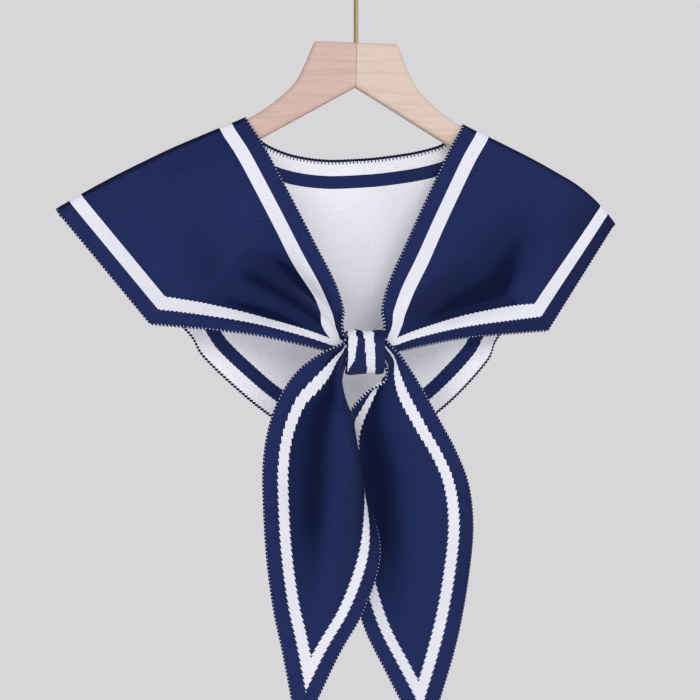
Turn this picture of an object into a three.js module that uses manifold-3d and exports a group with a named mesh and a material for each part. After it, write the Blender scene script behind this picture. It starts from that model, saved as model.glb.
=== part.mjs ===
// A knitted sailor collar, tied in front and hung on a wooden clothes hanger.
// Millimetres, +Z up, the collar's front towards -Y, left and right as seen from the front.
// The origin is the top of the hook's inside, where a rail carries the hanger.

import * as THREE from 'three';
import { mergeVertices } from 'three/addons/utils/BufferGeometryUtils.js';
import Module from 'manifold-3d';

const wasm = await Module();
wasm.setup();
const { lerp, smoothstep, degToRad } = THREE.MathUtils;

// Clearances
const seatGap = 0.3; // between cloth and wood, and between the glued halves of the hanger
const wireGap = 0.3; // round the hook's stem in its hole
const neckGap = 0.6; // between the two ends of a strip inside the knot

// Hook
const wireDiameter = 4;
const hookRadius = 26; // to the middle of the wire
const bendRadius = 12; // where the stem turns into the hook
const hookEndAngle = 190; // degrees round from the right-hand side
const hookTipRadius = 2.6;
const stemLength = 40; // straight wire above the wood
const stemDepth = 22; // wire sunk in the wood

// Wooden body of the hanger
const hangerWidth = 380;
const hangerThickness = 12;
const edgeRound = 3;
const headWidth = 74;
const headHeight = 39;
const armDrop = 116; // from the head's top to the top of an arm's end
const armHeight = 21; // measured straight down at an arm's end
const armEndRound = 7;
const hangerTilt = 1; // degrees, the right arm hangs a little lower

// Cloth
const wall = 2.4; // double knit
const collarReach = 257; // from the middle to the farther shoulder tip
const neckHalfWidth = 97;
const neckDrop = 31; // of the back neckline below the shoulders
const neckSkew = 2; // the back neckline hangs lower on the left
const backSwing = 6; // the bottom of the back swings to the right
const neckBack = 19; // the middle of the back neckline stands off the hanger
const backDrop = 368; // from the head's top to the bottom of the back
const backStand = 17; // the bottom of the back stands off the hanger

// Each front wing, which drapes in its own way. reach and cornerOut are how far the shoulder tip and the
// wing's lowest corner lie from the middle. droop and sweep are how far the tip hangs and swings back past
// the arm's end. cornerDown is below the head's top, and cornerFore in front of the hanger. draw is how
// much of its width the back's hem keeps on that side.
const wings = {
  left: {
    side: -1, reach: collarReach, droop: 4, sweep: 0, draw: 1,
    cornerOut: 0.7 * collarReach, cornerDown: 247, cornerFore: 15,
  },
  right: {
    side: 1, reach: 0.934 * collarReach, droop: 11, sweep: 20, draw: 0.955,
    cornerOut: 0.665 * collarReach, cornerDown: 252, cornerFore: 4,
  },
};

// Knot
const knotShift = 1.4; // right of the middle
const knotDown = 272; // centre below the head's top
const knotFore = 46.5; // centre in front of the hanger
const knotWidth = 33;
const knotHeight = 40;
const knotDepth = 26;
const knotWall = 3.6;
const knotSquareness = 3.4; // exponent of its rounded section
const mouthGap = 0.5; // the strips start to spread this far outside the band
const knotWaist = 0.05; // share of its height that the middle of the band is drawn in
const wingNeckHeight = 13; // a wing's gathered end inside the knot
const tailNeckHeight = 21;
const neckStagger = 5.4; // wing ends lie this far behind the knot's centre, tail ends as far in front
const wingPleatDepth = 2;
const wingPleatCount = 1;
const wingPleatEnd = 0.25; // share of the way to the shoulder
const tailPleatTurn = 50; // degrees
const tailPleatCount = 1.5;
const tailPleatEnd = 0.2; // share of the way to the point

// Folds
const foldDepth = 10;
const fullFoldWidth = 85; // a wing this wide shows its folds at full depth
const foldGrowth = 1.5; // exponent of how the folds deepen up to that width
const tipFade = 0.4; // share of the way to the back's middle over which the tip's depth fades
const bendFade = 0.45; // share of that way over which the bend over the arm fades

// Tails
const tailLength = 338; // from the knot's centre to the point
const tailWidth = 108; // flat, where it is widest

// Facets
const wingRows = 20;
const backRows = 13;
const foldSteps = 3;
const acrossSteps = 16;
const tailRows = 26;
const tailAcross = 14;
const knotRound = 28;
const knotAcross = 6;
const frontShare = 0.62; // of a wing's rows, those between the knot and the corner
const wingRowExponent = 1.25; // exponent, above 1 to bring the rows at the knot closer together
const tailRowExponent = 1.15; // exponent, as for the wings

// Worked out from the sizes above
const stemTop = -(hookRadius - wireDiameter / 2) - (hookRadius + bendRadius)
  * Math.sin(Math.acos(bendRadius / (hookRadius + bendRadius)));
const headTop = stemTop - stemLength;
const saddleHalf = hangerThickness / 2 + seatGap + wall / 2;
const saddleRound = edgeRound + seatGap + wall / 2;
const knotHalf = knotWidth / 2;
const mouthOut = knotHalf + mouthGap;

// Tables. Each row's lengths are shares of the sizes named above it.

// Top edge of an arm, as shares of half the hanger's width and of armDrop.
const armTopRows = [
  { out: 0.274, down: 0.30 },
  { out: 0.379, down: 0.474 },
  { out: 0.5, down: 0.608 },
  { out: 0.632, down: 0.707 },
  { out: 0.837, down: 0.862 },
  { out: 1, down: 1 },
];

// Underside of an arm, as shares of half the hanger's width and, below the head's foot, of armDrop.
const armUnderRows = [
  { out: 0.68, down: 0.63 },
  { out: 0.442, down: 0.42 },
];
const armEndStart = 0.75; // of the last stretch of the top edge, before it rounds into the end

// Lapel edge from inside the knot to the shoulder. out runs from the knot's mouth to the neck's side,
// down from the shoulder to the knot, fore from the hanger to the knot.
const lapelRows = [
  { at: 0.06, out: 0, down: 1, fore: 1 },
  { at: 0.11, out: 0.02, down: 0.945, fore: 0.96 },
  { at: 0.17, out: 0.005, down: 0.875, fore: 0.84 },
  { at: 0.27, out: 0.09, down: 0.75, fore: 0.70 },
  { at: 0.42, out: 0.285, down: 0.579, fore: 0.53 },
  { at: 0.58, out: 0.49, down: 0.402, fore: 0.39 },
  { at: 0.75, out: 0.70, down: 0.225, fore: 0.25 },
  { at: 0.88, out: 0.86, down: 0.095, fore: 0.13 },
  { at: 1, out: 1, down: 0, fore: 0 },
];

// Bottom edge of a wing from inside the knot to the corner. out runs from the knot's mouth to the corner,
// down from the corner to the knot, fore from the corner to the knot.
const cornerAt = 0.56;
const hemRows = [
  { at: 0.06, out: 0, down: 1, fore: 1 },
  { at: 0.12, out: 0.10, down: 0.90, fore: 0.90 },
  { at: 0.2, out: 0.252, down: 0.66, fore: 0.66 },
  { at: 0.3, out: 0.46, down: 0.37, fore: 0.42 },
  { at: 0.42, out: 0.70, down: 0.18, fore: 0.2 },
  { at: cornerAt, out: 1, down: 0, fore: 0 },
];

// Back of the collar from a shoulder to the middle: neckline as shares of neckHalfWidth, neckDrop and
// neckBack, hem as shares of the tip's reach, of the drop from the tip to the bottom, and of backStand.
const backTable = [
  { at: 0, neckOut: 1, neckDown: 0, neckStand: 0, hemOut: 1, hemDown: 0, hemStand: 0 },
  { at: 0.2, neckOut: 0.97, neckDown: 0.14, neckStand: 0.06, hemOut: 0.78, hemDown: 0.236, hemStand: 0.4 },
  { at: 0.4, neckOut: 0.90, neckDown: 0.38, neckStand: 0.2, hemOut: 0.575, hemDown: 0.475, hemStand: 0.95 },
  { at: 0.5, neckOut: 0.82, neckDown: 0.58, neckStand: 0.36, hemOut: 0.528, hemDown: 0.570, hemStand: 0.7 },
  { at: 0.65, neckOut: 0.62, neckDown: 0.80, neckStand: 0.64, hemOut: 0.40, hemDown: 0.72, hemStand: 0.75 },
  { at: 0.78, neckOut: 0.42, neckDown: 0.92, neckStand: 0.84, hemOut: 0.29, hemDown: 0.825, hemStand: 1.2 },
  { at: 0.9, neckOut: 0.2, neckDown: 0.99, neckStand: 0.97, hemOut: 0.145, hemDown: 0.94, hemStand: 1.05 },
  { at: 1, neckOut: 0, neckDown: 1, neckStand: 1, hemOut: 0, hemDown: 1, hemStand: 0.9 },
];

// Folds of a wing: where across it, how wide as a share of it, how deep (towards the hanger) as a share
// of foldDepth, and the stretch from the knot (0) to the shoulder (1) over which each fades in and out.
const foldRows = {
  left: [
    { across: 0.27, width: 0.09, depth: 0.9, rise: 0.22, end: 0.80 },
    { across: 0.46, width: 0.12, depth: -0.7, rise: 0.25, end: 0.88 },
    { across: 0.71, width: 0.13, depth: 0.8, rise: 0.35, end: 0.92 },
  ],
  right: [
    { across: 0.30, width: 0.14, depth: -0.6, rise: 0.25, end: 0.85 },
    { across: 0.62, width: 0.14, depth: 0.8, rise: 0.45, end: 0.95 },
    { across: 0.86, width: 0.10, depth: -0.4, rise: 0.5, end: 0.95 },
  ],
};

// Tails, row by row from the knot. out, fore and down place the outer edge, from the knot's centre, as
// shares of tailLength. lean is the tilt of the section in degrees, 90 where it stands upright. width is
// the cloth's flat width as a share of tailWidth. first, middle and last are the section's headings in
// degrees from the outer to the inner edge, above 0 where it goes away from the front. roll is how far
// the inner edge curls round behind.
const tailColumns = ['at', 'out', 'fore', 'down', 'lean', 'width', 'first', 'middle', 'last', 'roll'];
const tailTables = {
  left: [
    [0.05, 0.0523, 0, -0.022, 90, 0.245, 0, 0, 0, 0],
    [0.12, 0.107, 0.006, 0.002, 62, 0.54, 0, -8, 18, 140],
    [0.19, 0.166, 0, 0.046, 41, 0.80, 0, -18, 18, 165],
    [0.27, 0.211, -0.006, 0.109, 25, 0.93, 2, -24, 16, 170],
    [0.36, 0.240, -0.014, 0.189, 13, 1.04, 4, -27, 14, 155],
    [0.46, 0.254, -0.02, 0.284, 5, 1.11, 4, -27, 14, 110],
    [0.57, 0.252, -0.026, 0.405, 1, 1.04, 4, -26, 14, 54],
    [0.69, 0.243, -0.03, 0.532, 0, 0.92, 4, -24, 12, 10],
    [0.81, 0.225, -0.034, 0.66, 0, 0.70, 2, -18, 10, 0],
    [0.91, 0.201, -0.038, 0.77, 0, 0.42, 0, -10, 4, 0],
    [1, 0.165, -0.04, 0.963, 0, 0.02, 0, 0, 0, 0],
  ],
  right: [
    [0.05, 0.0523, 0, -0.028, 90, 0.25, 0, 0, 0, 0],
    [0.085, 0.078, -0.004, -0.004, 72, 0.27, 2, 2, 4, 0],
    [0.12, 0.105, -0.01, 0.03, 36, 0.38, 2, 4, 8, 0],
    [0.19, 0.15, -0.02, 0.10, 20, 0.66, 0, 6, 20, 0],
    [0.27, 0.194, -0.026, 0.178, 9, 0.86, -6, 8, 30, 0],
    [0.36, 0.234, -0.032, 0.25, 2, 1.02, -12, 10, 44, 0],
    [0.46, 0.270, -0.04, 0.34, -1, 1.14, -16, 8, 52, 0],
    [0.57, 0.283, -0.048, 0.45, 0, 1.13, -16, 6, 46, 0],
    [0.69, 0.272, -0.055, 0.58, 0, 0.98, -14, 6, 34, 0],
    [0.81, 0.250, -0.06, 0.71, 0, 0.76, -10, 4, 20, 0],
    [0.91, 0.222, -0.065, 0.82, 0, 0.49, -6, 2, 10, 0],
    [1, 0.165, -0.07, 1.0, 0, 0.02, 0, 0, 0, 0],
  ],
};

// Where across a section its heading has turned from first to middle, from middle to last, and rolled.
const tailTurns = { middle: [0, 0.2], last: [0.38, 0.66], roll: [0.6, 0.92] };

// Helpers

// Smooth curve through a table's rows: the value of one column at a place along it.
function readTable(rows, column, at) {
  const last = rows.length - 1;
  let i = 0;
  while (i < last - 1 && at > rows[i + 1].at) i++;
  const [a, b] = [rows[i], rows[i + 1]];
  const span = b.at - a.at;
  const slope = (j) => {
    const [p, q] = [rows[Math.max(j - 1, 0)], rows[Math.min(j + 1, last)]];
    return (q[column] - p[column]) / (q.at - p.at);
  };
  const t = Math.min(Math.max((at - a.at) / span, 0), 1);
  const [t2, t3] = [t * t, t * t * t];
  return (2 * t3 - 3 * t2 + 1) * a[column] + (t3 - 2 * t2 + t) * span * slope(i)
    + (3 * t2 - 2 * t3) * b[column] + (t3 - t2) * span * slope(i + 1);
}

function toSolid(geometry) {
  const bare = new THREE.BufferGeometry().setAttribute('position', geometry.getAttribute('position'));
  bare.setIndex(geometry.index);
  const merged = mergeVertices(bare, 1e-4);
  return new wasm.Manifold(new wasm.Mesh({
    numProp: 3,
    vertProperties: merged.getAttribute('position').array,
    triVerts: new Uint32Array(merged.index.array),
  }));
}

function toGeometry(solid) {
  const { vertProperties, triVerts } = solid.getMesh();
  const geometry = new THREE.BufferGeometry();
  geometry.setAttribute('position', new THREE.BufferAttribute(vertProperties, 3));
  geometry.setIndex(new THREE.BufferAttribute(triVerts, 1));
  geometry.computeVertexNormals();
  return geometry;
}

// Closed wall round a grid of points on its mid-surface, offset half the wall to each side.
// ring closes the grid on itself along its rows.
function wallGeometry(grid, thickness, ring = false) {
  const [rows, columns] = [grid.length, grid[0].length];
  const rowAt = (i) => (ring ? grid[(i + rows) % rows] : grid[Math.min(Math.max(i, 0), rows - 1)]);
  const positions = [];
  for (const sign of [1, -1]) {
    for (let i = 0; i < rows; i++) {
      for (let j = 0; j < columns; j++) {
        const along = rowAt(i + 1)[j].clone().sub(rowAt(i - 1)[j]);
        const across = rowAt(i)[Math.min(j + 1, columns - 1)].clone().sub(rowAt(i)[Math.max(j - 1, 0)]);
        const normal = along.cross(across).normalize();
        positions.push(...grid[i][j].clone().addScaledVector(normal, sign * thickness / 2));
      }
    }
  }
  const index = (side, i, j) => side * rows * columns + (i % rows) * columns + j;
  const faces = [];
  const quad = (a, b, c, d) => faces.push(a, b, c, a, c, d);
  const spans = ring ? rows : rows - 1;
  for (let i = 0; i < spans; i++) {
    for (let j = 0; j < columns - 1; j++) {
      quad(index(0, i, j), index(0, i + 1, j), index(0, i + 1, j + 1), index(0, i, j + 1));
      quad(index(1, i, j), index(1, i, j + 1), index(1, i + 1, j + 1), index(1, i + 1, j));
    }
    quad(index(0, i, 0), index(1, i, 0), index(1, i + 1, 0), index(0, i + 1, 0));
    const k = columns - 1;
    quad(index(0, i, k), index(0, i + 1, k), index(1, i + 1, k), index(1, i, k));
  }
  for (let j = 0; !ring && j < columns - 1; j++) {
    const m = rows - 1;
    quad(index(0, 0, j), index(0, 0, j + 1), index(1, 0, j + 1), index(1, 0, j));
    quad(index(0, m, j), index(1, m, j), index(1, m, j + 1), index(0, m, j + 1));
  }
  const geometry = new THREE.BufferGeometry();
  geometry.setAttribute('position', new THREE.Float32BufferAttribute(positions, 3));
  geometry.setIndex(faces);
  geometry.computeVertexNormals();
  return geometry;
}

const cloth = (color) => new THREE.MeshStandardMaterial({ color, roughness: 0.95, metalness: 0 });
const wood = (color) => new THREE.MeshStandardMaterial({ color, roughness: 0.6, metalness: 0 });
const brass = new THREE.MeshStandardMaterial({ color: 0xc9ad7a, roughness: 0.3, metalness: 1 });

function piece(name, geometry, material) {
  const mesh = new THREE.Mesh(geometry, material);
  mesh.name = name;
  return mesh;
}

// Hanger

const tilt = degToRad(hangerTilt);
const halfHanger = hangerWidth / 2;

// Top edge of an arm in the hanger's own plane, from the head's top, by distance from the middle.
function armTopDown(out) {
  const rows = armTopRows.map((row) => ({ at: row.out * halfHanger, down: row.down * armDrop }));
  return readTable(rows, 'down', out);
}

// Turns a point of the hanger's plane about the head's top, as the hanger tilts.
function tilted(side, out, down) {
  const x = side * out;
  return {
    x: x * Math.cos(tilt) - down * Math.sin(tilt),
    z: headTop - down * Math.cos(tilt) - x * Math.sin(tilt),
  };
}

function hangerOutline() {
  const shape = new THREE.Shape();
  const headHalf = headWidth / 2;
  const top = armTopRows.map((row) => new THREE.Vector2(row.out * halfHanger, -row.down * armDrop));
  const end = top.at(-1);
  const foot = new THREE.Vector2(halfHanger, end.y - armHeight + armEndRound / 2);
  const under = armUnderRows.map(
    (row) => new THREE.Vector2(halfHanger * row.out, -headHeight - armDrop * row.down));
  top[top.length - 1] = new THREE.Vector2(end.x - armEndRound, lerp(top.at(-2).y, end.y, armEndStart));
  const mirror = (points) => points.map((p) => new THREE.Vector2(-p.x, p.y)).reverse();
  shape.moveTo(0, 0);
  shape.lineTo(headHalf - edgeRound, 0);
  shape.quadraticCurveTo(headHalf, 0, headHalf + 1, -edgeRound);
  shape.splineThru(top);
  shape.quadraticCurveTo(end.x, end.y, end.x, end.y - armHeight / 2);
  shape.quadraticCurveTo(foot.x, foot.y, end.x - armEndRound, foot.y);
  shape.splineThru(under);
  shape.lineTo(0, -headHeight);
  const [first, second] = mirror(under);
  shape.lineTo(first.x, first.y);
  shape.splineThru([second, new THREE.Vector2(armEndRound - end.x, foot.y)]);
  shape.quadraticCurveTo(-foot.x, foot.y, -end.x, end.y - armHeight / 2);
  shape.quadraticCurveTo(-end.x, end.y, armEndRound - end.x, top.at(-1).y);
  shape.splineThru([...mirror(top).slice(1), new THREE.Vector2(-headHalf - 1, -edgeRound)]);
  shape.quadraticCurveTo(-headHalf, 0, edgeRound - headHalf, 0);
  shape.closePath();
  return shape;
}

// The whole wooden body with the hole for the stem, upright and centred on the origin.
function hangerBody() {
  const board = new THREE.ExtrudeGeometry(hangerOutline(), {
    depth: hangerThickness - 2 * edgeRound,
    curveSegments: 4,
    bevelThickness: edgeRound,
    bevelSize: edgeRound,
    bevelOffset: -edgeRound,
    bevelSegments: 2,
  });
  board.translate(0, 0, edgeRound - hangerThickness / 2);
  board.rotateX(Math.PI / 2);
  const hole = new THREE.CylinderGeometry(
    wireDiameter / 2 + wireGap, wireDiameter / 2 + wireGap, 2 * (stemDepth + wireGap), 12);
  hole.rotateX(Math.PI / 2);
  hole.rotateY(-tilt);
  return toSolid(board).subtract(toSolid(hole));
}

// One glued half of the body, on one side of the seam.
function hangerHalf(body, side) {
  const block = new THREE.BoxGeometry(hangerWidth, 2 * hangerThickness, 2 * (armDrop + headHeight));
  block.translate(side * (hangerWidth + seatGap) / 2, 0, 0);
  return toGeometry(body.intersect(toSolid(block)));
}

// The hook's wire: up the stem, out to the right and round over the rail to the left.
class HookLine extends THREE.Curve {
  constructor() {
    super();
    this.turn = Math.acos(bendRadius / (hookRadius + bendRadius));
    this.sink = stemLength + stemDepth;
    this.parts = [this.sink, bendRadius * this.turn, hookRadius * (degToRad(hookEndAngle) + this.turn)];
    this.total = this.parts[0] + this.parts[1] + this.parts[2];
  }

  getPoint(t, target = new THREE.Vector3()) {
    const s = t * this.total;
    const [straight, bend] = this.parts;
    if (s <= straight) return target.set(0, 0, stemTop - this.sink + s);
    if (s <= straight + bend) {
      const a = (s - straight) / bendRadius;
      return target.set(bendRadius * (1 - Math.cos(a)), 0, stemTop + bendRadius * Math.sin(a));
    }
    const a = (s - straight - bend) / hookRadius - this.turn;
    return target.set(hookRadius * Math.cos(a), 0, wireDiameter / 2 - hookRadius + hookRadius * Math.sin(a));
  }
}

function hookGeometry() {
  const line = new HookLine();
  const section = new THREE.Shape().absarc(0, 0, wireDiameter / 2, 0, 2 * Math.PI);
  const tube = new THREE.ExtrudeGeometry(section, { steps: 38, curveSegments: 5, extrudePath: line });
  const ball = new THREE.SphereGeometry(hookTipRadius, 10, 8);
  ball.translate(...line.getPoint(1));
  return toGeometry(toSolid(tube).add(toSolid(ball)));
}

// Collar: one strip of cloth from the knot over the left shoulder, round the back and over the right
// shoulder to the knot. A row runs across the strip, from the neck's edge to the outer edge.

// Top of the fold over an arm, in the middle of the cloth, from the neck (0) to the tip (1).
function foldLine(wing, share) {
  const out = lerp(neckHalfWidth, wing.reach, share);
  const past = Math.max(out - halfHanger, 0);
  const pastEnd = past / Math.max(wing.reach - halfHanger, 1);
  const onArm = Math.min(out, halfHanger);
  const slope = (armTopDown(onArm) - armTopDown(onArm - 10)) / 10;
  const lift = (seatGap + wall / 2) * Math.hypot(1, slope);
  const down = armTopDown(onArm) - lift + past * slope + wing.droop * pastEnd ** 2;
  const { x, z } = tilted(wing.side, out, down);
  return new THREE.Vector3(x, wing.sweep * pastEnd ** 2, z);
}

// A point on the saddle over the arm. turn goes from -1, the front of the arm, to 1, its back.
function saddlePoint(wing, share, turn) {
  const top = foldLine(wing, share);
  const ahead = foldLine(wing, Math.min(share + 0.02, 1));
  const behind = foldLine(wing, Math.max(share - 0.02, 0));
  const run = ahead.sub(behind).setY(0).normalize();
  const downward = new THREE.Vector3(run.z, 0, -run.x).multiplyScalar(wing.side);
  const angle = (1 - Math.abs(turn)) * Math.PI / 2;
  const sideways = saddleHalf - saddleRound + saddleRound * Math.cos(angle);
  top.addScaledVector(downward, saddleRound * (1 - Math.sin(angle)));
  top.y += Math.sign(turn) * sideways;
  return top;
}

// Gathers in the cloth inside the knot and where it comes out.
const wingPleat = (across) => wingPleatDepth * Math.sin(2 * Math.PI * wingPleatCount * across);

// Adds to a straight row what the curved row beside it bends by, fading as it goes away from it.
function bendLike(point, across, shared, nearRow) {
  const straight = nearRow(0).lerp(nearRow(1), across);
  return point.add(nearRow(across).sub(straight).multiplyScalar(shared));
}

// A point on a wing: across from the lapel (0) to the outer edge (1), along from the knot (0) to the
// shoulder (1).
function wingPoint(wing, folds, across, along) {
  const { side } = wing;
  const shoulder = saddlePoint(wing, 0, -1);
  const tip = saddlePoint(wing, 1, -1);
  const centre = new THREE.Vector3(knotShift, neckStagger - knotFore, headTop - knotDown);
  const mouthTop = centre.z + wingNeckHeight;
  const mouthX = knotShift + side * mouthOut;
  const inner = new THREE.Vector3();
  const outer = new THREE.Vector3();
  const inKnot = lapelRows[0].at;
  if (along < inKnot) {
    const x = lerp(knotShift + side * neckGap / 2, mouthX, along / inKnot);
    inner.set(x, centre.y, mouthTop);
    outer.set(x, centre.y, centre.z);
  } else {
    inner.set(
      lerp(mouthX, shoulder.x, readTable(lapelRows, 'out', along)),
      lerp(shoulder.y, centre.y, readTable(lapelRows, 'fore', along)),
      lerp(shoulder.z, mouthTop, readTable(lapelRows, 'down', along)));
    const corner = new THREE.Vector3(side * wing.cornerOut, -wing.cornerFore, headTop - wing.cornerDown);
    if (along < cornerAt) {
      outer.set(
        lerp(mouthX, corner.x, readTable(hemRows, 'out', along)),
        lerp(corner.y, centre.y, readTable(hemRows, 'fore', along)),
        lerp(corner.z, centre.z, readTable(hemRows, 'down', along)));
    } else {
      outer.copy(corner).lerp(tip, (along - cornerAt) / (1 - cornerAt));
    }
  }
  const width = inner.distanceTo(outer);
  const point = inner.lerp(outer, across);
  bendLike(point, across, smoothstep(along, cornerAt, 1), (s) => saddlePoint(wing, s, -1));
  point.y += wingPleat(across) * (1 - smoothstep(along, inKnot, wingPleatEnd));
  const room = Math.min(width / fullFoldWidth, 1) ** foldGrowth;
  for (const fold of folds) {
    const bell = Math.exp(-(((across - fold.across) / fold.width) ** 2));
    const strength = smoothstep(along, 0, fold.rise) * (1 - smoothstep(along, fold.rise, fold.end));
    point.y += foldDepth * fold.depth * bell * strength * room;
  }
  return point;
}

// A point on the back: across from the neckline (0) to the hem (1), along from a shoulder (0) to the
// middle (1).
function backPoint(wing, across, along) {
  const { side } = wing;
  const read = (column) => readTable(backTable, column, along);
  const shoulder = saddlePoint(wing, 0, 1);
  const tip = saddlePoint(wing, 1, 1);
  const skew = side * neckSkew * Math.sin(Math.PI * read('neckOut'));
  const inner = new THREE.Vector3(
    shoulder.x * read('neckOut'),
    saddleHalf + neckBack * read('neckStand'),
    lerp(shoulder.z, headTop - armDrop * armTopRows[2].down - neckDrop, read('neckDown')) + skew);
  const fromTip = smoothstep(along, 0, tipFade);
  const outer = new THREE.Vector3(
    tip.x * read('hemOut') * lerp(1, wing.draw, fromTip) + backSwing * read('hemDown'),
    lerp(tip.y, saddleHalf, fromTip) + backStand * read('hemStand'),
    lerp(tip.z, headTop - backDrop, read('hemDown')));
  const point = inner.lerp(outer, across);
  return bendLike(point, across, 1 - smoothstep(along, 0, bendFade), (s) => saddlePoint(wing, s, 1));
}

function collarGeometry() {
  const half = (wing, folds) => {
    const rows = [];
    const acrossRow = (point) => {
      rows.push(Array.from({ length: acrossSteps + 1 }, (_, j) => point(j / acrossSteps)));
    };
    for (let i = 0; i <= wingRows; i++) acrossRow((s) => wingPoint(wing, folds, s, wingStation(i)));
    for (let i = 1; i <= foldSteps; i++) acrossRow((s) => saddlePoint(wing, s, i / foldSteps - 1 - 1e-6));
    for (let i = 0; i < foldSteps; i++) acrossRow((s) => saddlePoint(wing, s, i / foldSteps + 1e-6));
    for (let i = 0; i < backRows; i++) acrossRow((s) => backPoint(wing, s, i / backRows));
    return rows;
  };
  const middle = Array.from(
    { length: acrossSteps + 1 }, (_, j) => backPoint(wings.left, j / acrossSteps, 1));
  const left = half(wings.left, foldRows.left);
  const right = half(wings.right, foldRows.right);
  return wallGeometry([...left, middle, ...right.reverse()], wall);
}

// Rows of a wing lie closer together in the knot and have one at the corner.
function wingStation(i) {
  const toCorner = Math.round(wingRows * frontShare);
  return i <= toCorner
    ? cornerAt * (i / toCorner) ** wingRowExponent
    : lerp(cornerAt, 1, (i - toCorner) / (wingRows - toCorner));
}

// Knot: a band of cloth round the gathered ends, open at both sides.
function knotGeometry() {
  const rows = Array.from({ length: knotRound }, (_, i) => {
    const angle = (2 * Math.PI * i) / knotRound;
    const round = (value) => Math.sign(value) * Math.abs(value) ** (2 / knotSquareness);
    return Array.from({ length: knotAcross + 1 }, (_, j) => {
      const across = j / knotAcross;
      const waist = 1 - knotWaist * Math.sin(Math.PI * across);
      return new THREE.Vector3(
        knotShift + lerp(-knotHalf, knotHalf, across),
        -knotFore - (knotDepth - knotWall) / 2 * round(Math.cos(angle)),
        headTop - knotDown + (knotHeight - knotWall) / 2 * waist * round(Math.sin(angle)));
    });
  });
  return wallGeometry(rows, knotWall, true);
}

// Tails. A section starts at the outer edge and turns by its headings, so that its length is the cloth's
// width. side is -1 for the left one and 1 for the right one.
function tailGeometry(side, table) {
  const rows = table.map((row) => Object.fromEntries(tailColumns.map((name, k) => [name, row[k]])));
  const start = rows[0].at;
  const centre = new THREE.Vector3(knotShift, -knotFore - neckStagger, headTop - knotDown);
  const turn = (s, name) => smoothstep(s, ...tailTurns[name]);
  const grid = [];
  for (let i = 0; i <= tailRows; i++) {
    const along = (i / tailRows) ** tailRowExponent;
    const at = (column) => (along < start ? rows[0][column] : readTable(rows, column, along));
    const outer = along < start
      ? new THREE.Vector3(
        knotShift + side * lerp(neckGap / 2, mouthOut, along / start),
        centre.y,
        centre.z + tailNeckHeight / 2)
      : new THREE.Vector3(
        centre.x + side * tailLength * at('out'),
        centre.y - tailLength * at('fore'),
        centre.z - tailLength * at('down'));
    const lean = degToRad(at('lean'));
    const step = new THREE.Vector3(-side * Math.cos(lean), 0, -Math.sin(lean));
    const stepLength = (tailWidth * at('width')) / tailAcross;
    const gather = 1 - smoothstep(along, start, tailPleatEnd);
    const row = [outer.clone()];
    for (let j = 0; j < tailAcross; j++) {
      const s = (j + 0.5) / tailAcross;
      const turned = lerp(at('first'), at('middle'), turn(s, 'middle'));
      const heading = degToRad(lerp(turned, at('last'), turn(s, 'last'))
        + at('roll') * turn(s, 'roll')
        + tailPleatTurn * gather * Math.cos(2 * Math.PI * tailPleatCount * s));
      outer.addScaledVector(step, stepLength * Math.cos(heading));
      outer.y += stepLength * Math.sin(heading);
      row.push(outer.clone());
    }
    grid.push(side < 0 ? row : row.reverse());
  }
  return wallGeometry(grid, wall);
}

// Assembly

const collar = new THREE.Group();
const hanger = new THREE.Group();
hanger.position.z = headTop;
hanger.rotation.y = tilt;
const body = hangerBody();
const navy = 0x1c2456;
hanger.add(
  piece('hanger_left_half', hangerHalf(body, -1), wood(0xd9b8a4)),
  piece('hanger_right_half', hangerHalf(body, 1), wood(0xdfc9b8)));
collar.add(
  hanger,
  piece('hanger_hook', hookGeometry(), brass),
  piece('collar_panel', collarGeometry(), cloth(navy)),
  piece('knot_band', knotGeometry(), cloth(navy)),
  piece('left_tail', tailGeometry(-1, tailTables.left), cloth(navy)),
  piece('right_tail', tailGeometry(1, tailTables.right), cloth(navy)));

export default collar;
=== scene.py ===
"""Knitted sailor collar on a wooden clothes hanger.

The cloth, its selvedge and its knot are surfaces of two parameters, worked out in millimetres in the
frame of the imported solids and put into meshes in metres. The wood and the wire keep their solids and
get their finishes here. Left and right are as seen from the front.
"""
import math

import bpy
import numpy as np
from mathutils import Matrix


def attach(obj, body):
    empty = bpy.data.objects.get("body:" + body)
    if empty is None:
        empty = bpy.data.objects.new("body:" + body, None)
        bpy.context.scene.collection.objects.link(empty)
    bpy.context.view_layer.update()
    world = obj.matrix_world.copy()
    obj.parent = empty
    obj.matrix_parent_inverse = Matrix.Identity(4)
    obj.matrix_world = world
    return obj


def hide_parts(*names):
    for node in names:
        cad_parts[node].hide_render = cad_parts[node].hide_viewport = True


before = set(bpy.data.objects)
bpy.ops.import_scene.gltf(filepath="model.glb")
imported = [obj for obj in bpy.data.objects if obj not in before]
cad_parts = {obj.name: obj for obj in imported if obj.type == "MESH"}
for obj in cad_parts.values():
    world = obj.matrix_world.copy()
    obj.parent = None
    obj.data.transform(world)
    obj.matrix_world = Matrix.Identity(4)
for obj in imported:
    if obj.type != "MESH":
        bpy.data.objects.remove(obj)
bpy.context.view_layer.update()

bl_info = {
    "name": "Sailor collar",
    "version": (1, 0, 0),
    "blender": (4, 5, 0),
    "location": "3D View > Sidebar > Collar",
    "description": "Builds a knitted sailor collar on a wooden clothes hanger",
    "category": "Object",
}

MM = 0.001

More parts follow.
